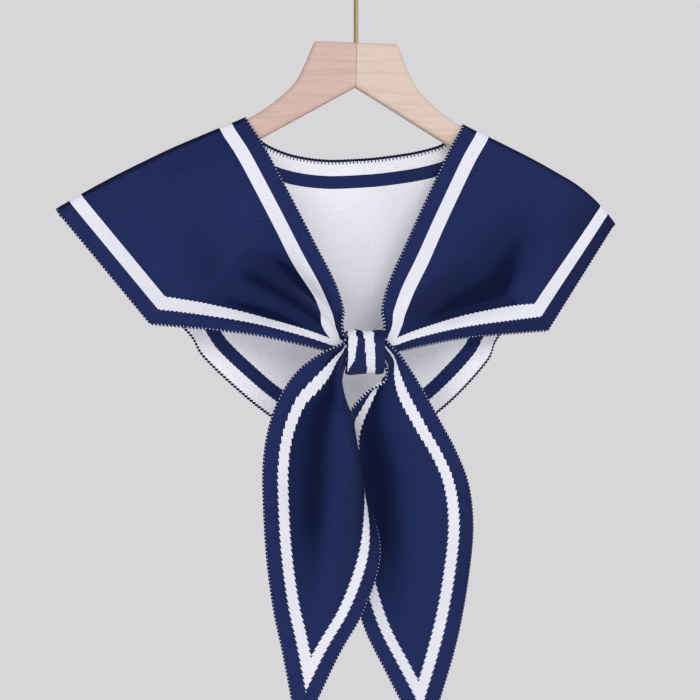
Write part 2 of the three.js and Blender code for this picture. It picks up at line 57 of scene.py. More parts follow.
# Sizes of the solids that the cloth follows: lengths in millimetres, the tilt in radians, the turn of the
# tails' pleats in degrees, and counts, powers and places without a unit.
SEAT_GAP = 0.3
SOLID_WALL = 2.4
HANGER_HALF = 190.0
HANGER_THICKNESS = 12.0
EDGE_ROUND = 3.0
ARM_DROP = 116.0
HANGER_TILT = math.radians(1.0)
HOOK_RADIUS = 26.0
BEND_RADIUS = 12.0
WIRE_DIAMETER = 4.0
STEM_LENGTH = 40.0
NECK_HALF_WIDTH = 97.0
NECK_DROP = 31.0
NECK_SKEW = 2.0
NECK_BACK = 19.0
BACK_SWING = 6.0
BACK_DROP = 368.0
BACK_STAND = 17.0
KNOT_SHIFT = 1.4
KNOT_DOWN = 272.0
KNOT_FORE = 46.5
KNOT_WIDTH = 33.0
KNOT_HEIGHT = 40.0
KNOT_DEPTH = 26.0
KNOT_WALL = 3.6
KNOT_SQUARENESS = 3.4
MOUTH_GAP = 0.5
WING_NECK_HEIGHT = 13.0
TAIL_NECK_HEIGHT = 21.0
NECK_STAGGER = 5.4
NECK_GAP = 0.6
WING_PLEAT_DEPTH = 2.0
TAIL_PLEAT_TURN = 50.0
TAIL_PLEATS = 1.5
TAIL_LENGTH = 338.0
TAIL_WIDTH = 108.0
FULL_FOLD_WIDTH = 85.0

# Places along the cloth: a wing's corner, the end of its pleats, the end of the saddle's bend in the back,
# the place from which the back's hem stands free of the arm, and the end of the gathers of a tail.
CORNER_AT = 0.56
PLEATS_END = 0.25
BEND_END = 0.45
HEM_FREE = 0.4
GATHERED_TO = 0.5

# Rows and columns of the grids, the row of a wing's corner, the row where the lapel's straight run starts,
# the rows that the knot hides, and the rows between the points that an edge's line is read from.
WING_ROWS = 170
SADDLE_ROWS = 7
BACK_ROWS = 78
COLLAR_COLUMNS = 78
TAIL_ROWS = 190
TAIL_COLUMNS = 84
KNOT_ROUNDS = 220
KNOT_PROFILE = 96
CORNER_ROW = 105
RUN_ROW = 40
HIDDEN_ROWS = 14
HEM_STEP = 4
SIDE_STEP = 3
NECK_STEP = 5

# Rows crowd towards the knot by these powers, and the saddle's rows keep off its very top.
WING_CROWDING = 1.25
TAIL_CROWDING = 1.15
OFF_TOP = 1e-6

# Worked out from the sizes: height of the hanger's top, half width and round of the cloth over an arm, and
# distance from the band's middle to where the gathered ends come out of it.
HEAD_TOP = (-(HOOK_RADIUS - WIRE_DIAMETER / 2)
            - (HOOK_RADIUS + BEND_RADIUS) * math.sin(math.acos(BEND_RADIUS / (HOOK_RADIUS + BEND_RADIUS)))
            - STEM_LENGTH)
SADDLE_HALF = HANGER_THICKNESS / 2 + SEAT_GAP + SOLID_WALL / 2
SADDLE_ROUND = EDGE_ROUND + SEAT_GAP + SOLID_WALL / 2
MOUTH_OUT = KNOT_WIDTH / 2 + MOUTH_GAP

# How far a rim stands out as a share of the thickness, the least span that relief divides by, the steps
# over which slopes are taken, and the power by which folds fade in narrow cloth.
RIM_SHARE = 0.55
LEAST_SPAN = 0.5
ARM_STEP = 10
FOLD_STEP = 0.02
ROOM_POWER = 1.5

# Each wing: side, reach, droop, sweep, and its corner's distance out, down and fore.
WINGS = {
    "left": dict(side=-1, reach=257, droop=4, sweep=0, out=180, down=247, fore=15, draw=1),
    "right": dict(side=1, reach=240, droop=11, sweep=20, out=171, down=252, fore=4, draw=0.955),
}

# Top edge of an arm: place along it, then its drop as a share of ARM_DROP.
ARM_TOP = np.array([
    (0.274, 0.30), (0.379, 0.474), (0.5, 0.608), (0.632, 0.707), (0.837, 0.862), (1, 1)])

# Lapel edge from the knot to the shoulder: place, out, down, fore.
LAPEL = np.array([
    (0.06, 0, 1, 1), (0.11, 0.02, 0.945, 0.96), (0.17, 0.005, 0.875, 0.84), (0.27, 0.09, 0.75, 0.70),
    (0.42, 0.285, 0.579, 0.53), (0.58, 0.49, 0.402, 0.39), (0.75, 0.70, 0.225, 0.25),
    (0.88, 0.86, 0.095, 0.13), (1, 1, 0, 0)])

# Bottom edge of a wing from the knot to the corner: place, out, down, fore.
HEM = np.array([
    (0.06, 0, 1, 1), (0.12, 0.10, 0.90, 0.90), (0.2, 0.252, 0.66, 0.66), (0.3, 0.46, 0.37, 0.42),
    (0.42, 0.70, 0.18, 0.2), (CORNER_AT, 1, 0, 0)])

# Back from a shoulder to the middle: place, then neckline out, down, stand, and hem out, down, stand.
BACK = np.array([
    (0, 1, 0, 0, 1, 0, 0), (0.2, 0.97, 0.14, 0.06, 0.78, 0.236, 0.4),
    (0.4, 0.90, 0.38, 0.2, 0.575, 0.475, 0.95), (0.5, 0.82, 0.58, 0.36, 0.528, 0.570, 0.7),
    (0.65, 0.62, 0.80, 0.64, 0.40, 0.72, 0.75), (0.78, 0.42, 0.92, 0.84, 0.29, 0.825, 1.2),
    (0.9, 0.2, 0.99, 0.97, 0.145, 0.94, 1.05), (1, 0, 1, 1, 0, 1, 0.9)])

# Folds of a wing: across, width, depth, rise, end.
FOLDS = {
    "left": [(0.27, 0.09, 9, 0.22, 0.80), (0.46, 0.12, -7, 0.25, 0.88), (0.71, 0.13, 8, 0.35, 0.92)],
    "right": [(0.30, 0.14, -6, 0.25, 0.85), (0.62, 0.14, 8, 0.45, 0.95), (0.86, 0.10, -4, 0.5, 0.95)],
}

# How much wider than it looks a wing's border is: place, beside the lapel, beside the bottom edge.
GATHERS = np.array([
    (0.04, 3.4, 3.2), (0.09, 2.7, 2.9), (0.13, 1.95, 2.35), (0.17, 1.5, 2.0), (0.22, 1.22, 1.75),
    (0.3, 1.08, 1.5), (0.42, 1, 1.22), (CORNER_AT, 1, 1.03), (0.7, 1, 1), (1, 1, 1)])

# Tails: place, out, fore, down, lean, width, and the headings first, middle, last and roll.
TAILS = {
    "left": np.array([
        (0.05, 0.0523, 0, -0.022, 90, 0.245, 0, 0, 0, 0),
        (0.12, 0.107, 0.006, 0.002, 62, 0.54, 0, -8, 18, 140),
        (0.19, 0.166, 0, 0.046, 41, 0.80, 0, -18, 18, 165),
        (0.27, 0.211, -0.006, 0.109, 25, 0.93, 2, -24, 16, 170),
        (0.36, 0.240, -0.014, 0.189, 13, 1.04, 4, -27, 14, 155),
        (0.46, 0.254, -0.02, 0.284, 5, 1.11, 4, -27, 14, 110),
        (0.57, 0.252, -0.026, 0.405, 1, 1.04, 4, -26, 14, 54),
        (0.69, 0.243, -0.03, 0.532, 0, 0.92, 4, -24, 12, 10),
        (0.81, 0.225, -0.034, 0.66, 0, 0.70, 2, -18, 10, 0),
        (0.91, 0.201, -0.038, 0.77, 0, 0.42, 0, -10, 4, 0),
        (1, 0.165, -0.04, 0.963, 0, 0.02, 0, 0, 0, 0)]),
    "right": np.array([
        (0.05, 0.0523, 0, -0.028, 90, 0.25, 0, 0, 0, 0),
        (0.085, 0.078, -0.004, -0.004, 72, 0.27, 2, 2, 4, 0),
        (0.12, 0.105, -0.01, 0.03, 36, 0.38, 2, 4, 8, 0),
        (0.19, 0.15, -0.02, 0.10, 20, 0.66, 0, 6, 20, 0),
        (0.27, 0.194, -0.026, 0.178, 9, 0.86, -6, 8, 30, 0),
        (0.36, 0.234, -0.032, 0.25, 2, 1.02, -12, 10, 44, 0),
        (0.46, 0.270, -0.04, 0.34, -1, 1.14, -16, 8, 52, 0),
        (0.57, 0.283, -0.048, 0.45, 0, 1.13, -16, 6, 46, 0),
        (0.69, 0.272, -0.055, 0.58, 0, 0.98, -14, 6, 34, 0),
        (0.81, 0.250, -0.06, 0.71, 0, 0.76, -10, 4, 20, 0),
        (0.91, 0.222, -0.065, 0.82, 0, 0.49, -6, 2, 10, 0),
        (1, 0.165, -0.07, 1.0, 0, 0.02, 0, 0, 0, 0)]),
}

# Shares of a tail's width over which its heading passes to the middle one and the last one, and the roll,
# and the places between which its pleats end.
MIDDLE_TURN = (0, 0.2)
LAST_TURN = (0.38, 0.66)
ROLL_TURN = (0.6, 0.92)
TAIL_PLEATS_END = (0.05, 0.2)

# Painted shade on the shaded sides of folds: middle and width across, places where the painted shade starts,
# is full, fades and ends, and its strength.
PAINTED_FOLD_SHADE = {
    "left_wing": ((0.47, 0.10, 0.08, 0.2, 0.45, 0.62, 0.36), (0.28, 0.06, 0.06, 0.16, 0.3, 0.44, 0.34)),
    "right_wing": ((0.55, 0.20, 0.25, 0.55, 0.7, 1.0, 0.23),),
    "left_tail": ((0.38, 0.20, 0.05, 0.2, 0.6, 0.95, 0.36),),
    "right_tail": ((0.36, 0.27, 0.05, 0.2, 0.6, 0.95, 0.36),),
}

# The knot band's section: the powers of its round and what its round lacks of the full width and wall.
PROFILE_ACROSS = 9
PROFILE_LIFT = 2.6
PROFILE_SHORT = 0.2
PROFILE_THIN = 0.15

# Creases of the knot band: depth, waves across it, their turn round the band, and their start. Then their
# share in its height, how far the surface sinks for them, the shares of its waist and of its thinner
# sides, and how far it sways sideways as it goes round.
CREASES = ((1.1, 5.2, 2.6, 0.6), (0.7, 8.5, -3.4, 1.5))
CREASE_SHARE = 0.55
CREASE_SINK = 0.25
WAIST_SHARE = 0.05
SETTLE_SHARE = 0.55
KNOT_SWAY = 0.5

# Loops of the edges: name, part, slot, yarn, shift in pitches, radii along, out and through, place outward.
LOOPS = [
    ("wing_loops", "wings", "collar_knit", "navy", 0.25, (2.1, 0.95, 1.2), 0.45),
    ("wing_dots", "wings", "collar_knit", "white", 0.75, (0.5, 0.8, 1.15), 0.4),
    # The dark yarn is the band's navy painted darker, as painted shade, on the neckline's and back hem's
    # loops.
    ("neckline_cord", "neckline", "collar_knit", "dark", 0.25, (2.3, 1.6, 2.0), 0.9),
    ("neckline_teeth", "neckline", "collar_knit", "dark", 0.75, (0.7, 2.0, 1.8), -1.1),
    ("back_hem_loops", "back_hem", "collar_knit", "dark", 0.25, (1.75, 1.35, 1.6), 0.6),
    ("back_hem_teeth", "back_hem", "collar_knit", "dark", 0.6, (0.7, 1.4, 1.5), -0.3),
    ("tail_loops", "tails", "tail_knit", "navy", 0.25, (2.0, 0.95, 1.2), 0.45),
    ("tail_dots", "tails", "tail_knit", "white", 0.75, (0.5, 0.8, 1.15), 0.45),
]

# The row of each tail's edge where its loops begin. A rolled edge has none near the knot.
LOOPED_FROM = {"left": {"first": 10, "last": 36}, "right": {"first": 14, "last": 10}}

# Edges that take the loops. The operators of the cloth fill this in.
EDGES = {}

# Borders along these edges keep a straight line, and the others have teeth.
SMOOTH_EDGES = ("edge_inner", "edge_side")
STRAIGHT_TOOTH = 0.75

# Stitches: rise of a chevron's legs in courses, height of the ridges as a share, power of the legs, and
# depth of their bumps in metres.
CHEVRON_RISE = 1.3
RIDGE_SHARE = 0.65
LEG_POWER = 0.6
STITCH_DEPTH = 0.0006

# Fibres of the knit: size, detail and roughness of their noise, their height beside a stitch's, and the
# span of the noise that counts, for the fibres and for the larger drifts.
FUZZ_SCALE = 900
FUZZ_DETAIL = 2
FUZZ_ROUGHNESS = 0.7
FUZZ_HEIGHT = 0.35
FUZZ_SPAN = (0.25, 0.75)
DRIFT_SPAN = (0.3, 0.7)

# Shade of the knit: tone of its drifts and its fibres, painted light and shade of the stitches on dark and on
# white yarn, ridges lighter and grooves darker, the height of stitch that has the middle shade, that shade,
# the span of relief over which dark yarn gets painted shade in folds, the painted shade in the deepest
# valleys, and the painted light and shade of the knot band's stitches and the painted shade in its grooves.
DRIFT_SHADE = (0.95, 1.05)
FUZZ_SHADE = (0.93, 1.07)
STITCH_PAINTED_SHADE = (1.5, 0.3)
STITCH_MIDDLE = 0.55
MIDDLE_SHADE = 0.96
VALLEY_SPAN = (-0.36, -0.08)
VALLEY_PAINTED_SHADE = 0.25
KNOT_STITCH_PAINTED_SHADE = 0.30
KNOT_GROOVE_PAINTED_SHADE = 0.78

# Yarn: red of the dark and of the white one, roughness on and between ridges, the share of the band's colour
# that the loops in painted shade have, the share in the dips of a yarn, and the gleam.
TONE_SPAN = (0.05, 0.5)
KNIT_GLOSS = (0.38, 0.85)
PAINTED_SHADE_YARN_GLOSS = (0.97, 1.0)
WHITE_ROUGHNESS = 0.95
PAINTED_SHADE_YARN_SHARE = 0.5
YARN_DARK = 0.72
YARN_IOR = 1.65
GLEAM_TINT = (0.13, 0.25, 1.0, 1)

# Strength of the bumps on the cloth's face, its reverse and the knot band.
FACE_BUMP = 0.34
REVERSE_BUMP = 0.4
KNOT_BUMP = 0.5

# Stripes of the knot band: V of a full lap, height past which they keep their place, unevenness, and
# their sides, each a place across the band and a slant.
KNOT_LAP = 100.0
STRIPE_REACH = 18.0
STRIPE_WOBBLE = 2.6
LEFT_STRIPE_START = 0.3
LEFT_STRIPE_ENDS = ((9.2, -0.15), (7.6, 0.45))
RIGHT_STRIPE = ((15.2, -0.13), (23.3, -0.09))

# Wood: scale of the figure, the lines and the pores along and across the grain, rings, shares of rings and
# lines in the grain, spans of the lines' and the pores' noise, shade of a pore, and roughness.
FIGURE_SCALE = (3, 40, 40)
LINE_SCALE = (14, 900, 900)
PORE_SCALE = (90, 1500, 1500)
RING_COUNT = 7
GRAIN_SHARE = 0.55
LINE_SPAN = (0.2, 0.8)
PORE_SPAN = (0.66, 0.74)
PORE_SHADE = 0.86
WOOD_GLOSS = (0.48, 0.62)

# Grain of each half of the hanger: slant in degrees, place in the noise, and share of the darker colour.
GRAINS = {"left": (-31, 0.3, 0.84), "right": (31, 0.9, 0.86)}
DARK_GRAIN_TINT = (1, 0.94, 0.9)

# Brass: shade of the darker patches, span of their noise, roughness and metalness.
BRASS_DARK = 0.78
BRASS_SPAN = (0.3, 0.7)
BRASS_GLOSS = (0.18, 0.32)
BRASS_METAL = 0.6

# Camera: turn round the part, distance and target in metres, sensor and lens in millimetres.
VIEW_TURN = math.radians(-7.0)
VIEW_DISTANCE = 1.6
VIEW_TARGET = (-0.00528, 0.0, -0.37016)
VIEW_SENSOR = 36
VIEW_LENS = 93.506

# Lights: name, place, target and size in metres, power in watts, and colour.
LIGHTS = (
    ("key", (0.35, -2.2, 0.55), (0, 0, -0.35), (1.0, 1.0), 20, (1.0, 0.99, 0.97)),
    ("fill", (2.0, -1.2, 0.1), (0, 0, -0.35), (1.4, 1.4), 8, (0.97, 0.98, 1.0)),
    ("bounce", (-0.5, -1.9, -0.95), (0, 0, -0.42), (1.8, 0.8), 12, (1.0, 0.995, 0.985)),
    ("rim", (0.5, 1.8, 0.6), (0, 0, -0.35), (1.4, 1.0), 8, (1.0, 1.0, 1.0)),
)

# Floor and room: the floor's sizes in millimetres, and the room's light on cloth, in gleams and as seen.
FLOOR_RADIUS = 950.0
FLOOR_HEIGHT = -1150.0
FLOOR_SIDES = 96
FLOOR_COLOURS = ((0.70, 0.70, 0.71), (0.76, 0.76, 0.77))
FLOOR_ROUGHNESS = 0.85
ROOM_COLOUR = (0.68, 0.675, 0.695, 1)
ROOM_LIGHT = 1.32
ROOM_GLEAM = 0.06
ROOM_SEEN = 1.0


# Helpers for shapes

def smoothstep(x, low, high):
    """0 below low, 1 above high, and 3t^2 - 2t^3 between them."""
    t = np.clip((np.asarray(x, float) - low) / (high - low), 0, 1)
    return t * t * (3 - 2 * t)


def follow(rows, at):
    """Smooth curve through a table: cubic Hermite spans whose slopes join each row's two neighbours."""
    places, values = rows[:, 0], rows[:, 1:]
    at = np.asarray(at, float)
    last = len(places) - 1
    i = np.clip(np.searchsorted(places, at, side="left") - 1, 0, last - 1)
    before, after = np.maximum(np.arange(last + 1) - 1, 0), np.minimum(np.arange(last + 1) + 1, last)
    slopes = (values[after] - values[before]) / (places[after] - places[before])[:, None]
    span = (places[i + 1] - places[i])[..., None]
    t = np.clip((at - places[i]) / (places[i + 1] - places[i]), 0, 1)[..., None]
    t2, t3 = t * t, t * t * t
    return ((2 * t3 - 3 * t2 + 1) * values[i] + (t3 - 2 * t2 + t) * span * slopes[i]
            + (3 * t2 - 2 * t3) * values[i + 1] + (t3 - t2) * span * slopes[i + 1])


def unit(vectors):
    """Vectors divided by their lengths."""
    return vectors / np.maximum(np.linalg.norm(vectors, axis=-1, keepdims=True), 1e-9)


def lerp(a, b, t):
    """Straight from a, where t is 0, to b, where t is 1."""
    return a + (b - a) * t


def sheet_normals(grid):
    """Unit normals of a grid of points, along the rows' step crossed with the columns' step."""
    return unit(np.cross(np.gradient(grid, axis=0), np.gradient(grid, axis=1)))


def line_distance(points, line, reach=80.0):
    """Distance from each point to a polyline whose two ends run on straight for reach."""
    line = np.concatenate([
        [line[0] + unit(line[0] - line[1]) * reach], line, [line[-1] + unit(line[-1] - line[-2]) * reach]])
    best = np.full(points.shape[:-1], np.inf)
    for a, b in zip(line[:-1], line[1:]):
        ab = b - a
        t = np.clip(((points - a) @ ab) / max(ab @ ab, 1e-12), 0, 1)
        best = np.minimum(best, np.linalg.norm(points - a - t[..., None] * ab, axis=-1))
    return best


def painted_shade_relief(grid, reaches=(7, 15)):
    """How far a point stands out of the line between two neighbours in its row, as a share of that line.

    Ridges are above nought and valleys below it. The neighbours are reach columns away on either side, and
    the shares of all reaches are averaged. The valleys give the painted shade that darkens the navy in folds.
    """
    normal = sheet_normals(grid)
    at = np.arange(grid.shape[1])
    room = np.minimum(at, at[::-1])
    out = 0.0
    for reach in reaches:
        step = np.minimum(room, reach)
        before, after = grid[:, at - step], grid[:, at + step]
        span = np.linalg.norm(after - before, axis=-1) / 2 + LEAST_SPAN
        out = out + ((grid - (before + after) / 2) * normal).sum(-1) / span
    return out / len(reaches)


def painted_fold_shade(name, across, along):
    """Strength of the painted shade in the folds: bell-shaped bands across the cloth, each over its own
    stretch.
    """
    total = 0.0
    for centre, spread, start, full, fade, end, strength in PAINTED_FOLD_SHADE[name]:
        band = np.exp(-((across - centre) / spread) ** 2)
        total = total + strength * band * smoothstep(along, start, full) * (1 - smoothstep(along, fade, end))
    return total


def flat_scale(width, gathered):
    """How much wider the cloth is flat than as it hangs: the fourth root of both widths' fourth powers."""
    width = np.maximum(width, 1e-3)
    return (width ** 4 + gathered ** 4) ** 0.25 / width


# Shapes of the cloth

def arm_down(out):
    """Height of an arm's top edge below the head's top, by distance from the middle."""
    rows = ARM_TOP * (HANGER_HALF, ARM_DROP)
    return follow(rows, out)[..., 0]


def fold_line(wing, share):
    """Top of the fold over an arm: it follows the arm, then runs on straight, droops and swings back."""
    out = lerp(NECK_HALF_WIDTH, wing["reach"], share)
    past = np.maximum(out - HANGER_HALF, 0)
    past_end = past / max(wing["reach"] - HANGER_HALF, 1)
    on_arm = np.minimum(out, HANGER_HALF)
    slope = (arm_down(on_arm) - arm_down(on_arm - ARM_STEP)) / ARM_STEP
    lift = (SEAT_GAP + SOLID_WALL / 2) * np.hypot(1, slope)
    down = arm_down(on_arm) - lift + past * slope + wing["droop"] * past_end ** 2
    x = wing["side"] * out
    return np.stack([
        x * math.cos(HANGER_TILT) - down * math.sin(HANGER_TILT),
        wing["sweep"] * past_end ** 2,
        HEAD_TOP - down * math.cos(HANGER_TILT) - x * math.sin(HANGER_TILT)], axis=-1)


def saddle(wing, share, turn):
    """Cloth over an arm: a half round across the fold line, turn from -1 in front to 1 behind."""
    share, turn = np.broadcast_arrays(np.asarray(share, float), np.asarray(turn, float))
    top = fold_line(wing, share)
    ahead, behind = np.minimum(share + FOLD_STEP, 1), np.maximum(share - FOLD_STEP, 0)
    run = fold_line(wing, ahead) - fold_line(wing, behind)
    run[..., 1] = 0
    run = unit(run)
    downward = np.stack([run[..., 2], np.zeros_like(share), -run[..., 0]], axis=-1) * wing["side"]
    angle = (1 - np.abs(turn)) * math.pi / 2
    sideways = SADDLE_HALF - SADDLE_ROUND + SADDLE_ROUND * np.cos(angle)
    point = top + downward * (SADDLE_ROUND * (1 - np.sin(angle)))[..., None]
    point[..., 1] += np.sign(turn) * sideways
    return point


def bend_like(point, across, shared, wing, turn):
    """Adds what the saddle's edge bends by beside the straight line between its ends, as shared fades."""
    near = saddle(wing, across, turn)
    straight = lerp(saddle(wing, 0, turn), saddle(wing, 1, turn), across[..., None])
    return point + (near - straight) * shared[..., None]


def wing_surface(name, across, along):
    """A wing: straight rows from lapel to outer edge, with pleats at the knot and bell-shaped folds."""
    wing = WINGS[name]
    side = wing["side"]
    across, along = np.broadcast_arrays(across, along)
    shoulder, tip = saddle(wing, 0, -1), saddle(wing, 1, -1)
    centre = np.array([KNOT_SHIFT, NECK_STAGGER - KNOT_FORE, HEAD_TOP - KNOT_DOWN])
    mouth_x, mouth_top = KNOT_SHIFT + side * MOUTH_OUT, centre[2] + WING_NECK_HEIGHT
    corner = np.array([side * wing["out"], -wing["fore"], HEAD_TOP - wing["down"]])
    in_knot = along < LAPEL[0, 0]
    sunk_x = lerp(KNOT_SHIFT + side * NECK_GAP / 2, mouth_x, along / LAPEL[0, 0])
    out, down, fore = np.moveaxis(follow(LAPEL, along), -1, 0)
    inner = np.stack([
        np.where(in_knot, sunk_x, lerp(mouth_x, shoulder[0], out)),
        np.where(in_knot, centre[1], lerp(shoulder[1], centre[1], fore)),
        np.where(in_knot, mouth_top, lerp(shoulder[2], mouth_top, down))], axis=-1)
    out, down, fore = np.moveaxis(follow(HEM, along), -1, 0)
    hem = np.stack([
        np.where(in_knot, sunk_x, lerp(mouth_x, corner[0], out)),
        np.where(in_knot, centre[1], lerp(corner[1], centre[1], fore)),
        np.where(in_knot, centre[2], lerp(corner[2], centre[2], down))], axis=-1)
    edge = lerp(corner, tip, np.clip((along - CORNER_AT) / (1 - CORNER_AT), 0, 1)[..., None])
    outer = np.where((along < CORNER_AT)[..., None], hem, edge)
    width = np.linalg.norm(outer - inner, axis=-1)
    point = lerp(inner, outer, across[..., None])
    point = bend_like(point, across, smoothstep(along, CORNER_AT, 1), wing, -1)
    pleat = WING_PLEAT_DEPTH * np.sin(2 * math.pi * across)
    point[..., 1] += pleat * (1 - smoothstep(along, LAPEL[0, 0], PLEATS_END))
    room = np.minimum(width / FULL_FOLD_WIDTH, 1) ** ROOM_POWER
    for place, wide, depth, rise, end in FOLDS[name]:
        bell = np.exp(-((across - place) / wide) ** 2)
        strength = smoothstep(along, 0, rise) * (1 - smoothstep(along, rise, end))
        point[..., 1] += depth * bell * strength * room
    return point


def back_surface(name, across, along):
    """Half of the back: straight rows from neckline to hem, both edges read from the table."""
    wing = WINGS[name]
    across, along = np.broadcast_arrays(across, along)
    shoulder, tip = saddle(wing, 0, 1), saddle(wing, 1, 1)
    neck_out, neck_down, neck_stand, hem_out, hem_down, hem_stand = np.moveaxis(follow(BACK, along), -1, 0)
    skew = wing["side"] * NECK_SKEW * np.sin(math.pi * neck_out)
    neck_z = HEAD_TOP - ARM_DROP * ARM_TOP[2, 1] - NECK_DROP
    inner = np.stack([
        shoulder[0] * neck_out,
        SADDLE_HALF + NECK_BACK * neck_stand,
        lerp(shoulder[2], neck_z, neck_down) + skew], axis=-1)
    outer = np.stack([
        tip[0] * hem_out * lerp(1, wing["draw"], smoothstep(along, 0, HEM_FREE)) + BACK_SWING * hem_down,
        lerp(tip[1], SADDLE_HALF, smoothstep(along, 0, HEM_FREE)) + BACK_STAND * hem_stand,
        lerp(tip[2], HEAD_TOP - BACK_DROP, hem_down)], axis=-1)
    point = lerp(inner, outer, across[..., None])
    return bend_like(point, across, 1 - smoothstep(along, 0, BEND_END), wing, 1)


def tail_surface(name, steps, rows):
    """A tail: each section starts at the outer edge and turns by its headings as it crosses the cloth."""
    table = TAILS[name]
    side = -1 if name == "left" else 1
    along = np.linspace(0, 1, rows + 1) ** TAIL_CROWDING
    read = follow(table, along)
    start = table[0, 0]
    in_knot = along < start
    read[in_knot] = table[0, 1:]
    out, fore, down, lean, width, first, middle, last, roll = read.T
    centre = np.array([KNOT_SHIFT, -KNOT_FORE - NECK_STAGGER, HEAD_TOP - KNOT_DOWN])
    sunk_x = KNOT_SHIFT + side * lerp(NECK_GAP / 2, MOUTH_OUT, np.minimum(along / start, 1))
    outer = np.stack([
        np.where(in_knot, sunk_x, centre[0] + side * TAIL_LENGTH * out),
        np.where(in_knot, centre[1], centre[1] - TAIL_LENGTH * fore),
        np.where(in_knot, centre[2] + TAIL_NECK_HEIGHT / 2, centre[2] - TAIL_LENGTH * down)], axis=-1)
    lean = np.radians(lean)[:, None]
    step_length = (TAIL_WIDTH * width / steps)[:, None]
    gather = (1 - smoothstep(along, *TAIL_PLEATS_END))[:, None]
    s = (np.arange(steps) + 0.5)[None, :] / steps
    turned = lerp(first[:, None], middle[:, None], smoothstep(s, *MIDDLE_TURN))
    heading = np.radians(lerp(turned, last[:, None], smoothstep(s, *LAST_TURN))
                         + roll[:, None] * smoothstep(s, *ROLL_TURN)
                         + TAIL_PLEAT_TURN * gather * np.cos(2 * math.pi * TAIL_PLEATS * s))
    step = np.stack([
        -side * np.cos(lean) * step_length * np.cos(heading),
        step_length * np.sin(heading),
        -np.sin(lean) * step_length * np.cos(heading)], axis=-1)
    grid = np.concatenate([outer[:, None], outer[:, None] + np.cumsum(step, axis=1)], axis=1)
    return grid if side < 0 else grid[:, ::-1]


def wing_flat(half, places, front_rows):
    """A wing laid flat: place across and along it, and distance to its lapel, its side and its hem.

    The place across is the distance to the lapel, and the place along follows the lapel's straight run.
    """
    run = unit(half[WING_ROWS, 0] - half[RUN_ROW, 0])
    lapel_gather, hem_gather = np.moveaxis(follow(GATHERS, places), -1, 0)
    lapel = line_distance(half, half[HIDDEN_ROWS:front_rows:HEM_STEP, 0]) * lapel_gather[:, None]
    side = line_distance(half, half[CORNER_ROW:front_rows:SIDE_STEP, -1])
    hem = line_distance(half, half[HIDDEN_ROWS:CORNER_ROW + 1:HEM_STEP, -1]) * hem_gather[:, None]
    return lapel, half @ run, lapel, side, hem


def squared(value, power):
    """A sine or cosine made squarer: its size to the power of 2 over power, with its own sign."""
    return np.sign(value) * np.abs(value) ** (2 / power)


def knot_surface():
    """Points of the knot band, and the place across it of each point of its section.

    The section is a flat squared round with creases of cosines. It goes round a squared ring that has a
    slight waist, and stands out of it along the ring's normal.
    """
    angle = np.linspace(0, 2 * math.pi, KNOT_ROUNDS, endpoint=False)[:, None]
    turn = np.linspace(0, 2 * math.pi, KNOT_PROFILE, endpoint=False)[None, :]
    half = KNOT_WIDTH / 2
    across = squared(np.cos(turn), PROFILE_ACROSS) * (half - PROFILE_SHORT)
    lift = squared(np.sin(turn), PROFILE_LIFT) * (KNOT_WALL / 2 - PROFILE_THIN)
    crease = sum(depth * np.cos(across / half * waves + twist * np.sin(angle) + start)
                 for depth, waves, twist, start in CREASES)
    waist = 1 - WAIST_SHARE * np.cos(across / half * math.pi / 2)
    deep, high = (KNOT_DEPTH - KNOT_WALL) / 2, (KNOT_HEIGHT - KNOT_WALL) / 2
    base_y = -deep * squared(np.cos(angle), KNOT_SQUARENESS)
    base_z = high * waist * squared(np.sin(angle), KNOT_SQUARENESS)
    ring = np.stack(np.broadcast_arrays(0.0, base_y, base_z), axis=-1)
    tangent = unit(np.roll(ring, -1, 0) - np.roll(ring, 1, 0))
    outward = np.stack([tangent[..., 0], tangent[..., 2], -tangent[..., 1]], axis=-1)
    outward *= np.sign((outward * ring).sum(-1, keepdims=True) + 1e-9)
    settle = 1 - SETTLE_SHARE * np.abs(across / half) ** 6
    height = lift * settle + (crease * CREASE_SHARE - CREASE_SINK) * (lift > 0)
    points = ring + outward * height[..., None]
    points[..., 0] += KNOT_SHIFT + across + KNOT_SWAY * np.sin(angle)
    points[..., 1] -= KNOT_FORE
    points[..., 2] += HEAD_TOP - KNOT_DOWN
    return points, across[0]


# Meshes

def new_piece(name, points, faces, smooth=True):
    """A piece at the origin: points in millimetres become metres, and faces are rows of point numbers."""
    mesh = bpy.data.meshes.new(name)
    mesh.from_pydata((np.asarray(points).reshape(-1, 3) * MM).tolist(), [], np.asarray(faces).tolist())
    mesh.polygons.foreach_set("use_smooth", np.full(len(mesh.polygons), smooth))
    mesh.update()
    piece = bpy.data.objects.new(name, mesh)
    bpy.context.scene.collection.objects.link(piece)
    return piece


def border(grid):
    """The outermost values of a grid, in order round it from its first corner."""
    return np.concatenate([grid[:-1, 0], grid[-1, :-1], grid[:0:-1, -1], grid[0, :0:-1]])


def quads(*corners):
    """Faces of four corners from four arrays of point numbers."""
    return np.stack(corners, axis=-1).reshape(-1, 4)


def run_lengths(line):
    """Length of a line of points up to each point."""
    return np.concatenate([[0], np.cumsum(np.linalg.norm(np.diff(line, axis=0), axis=1))])


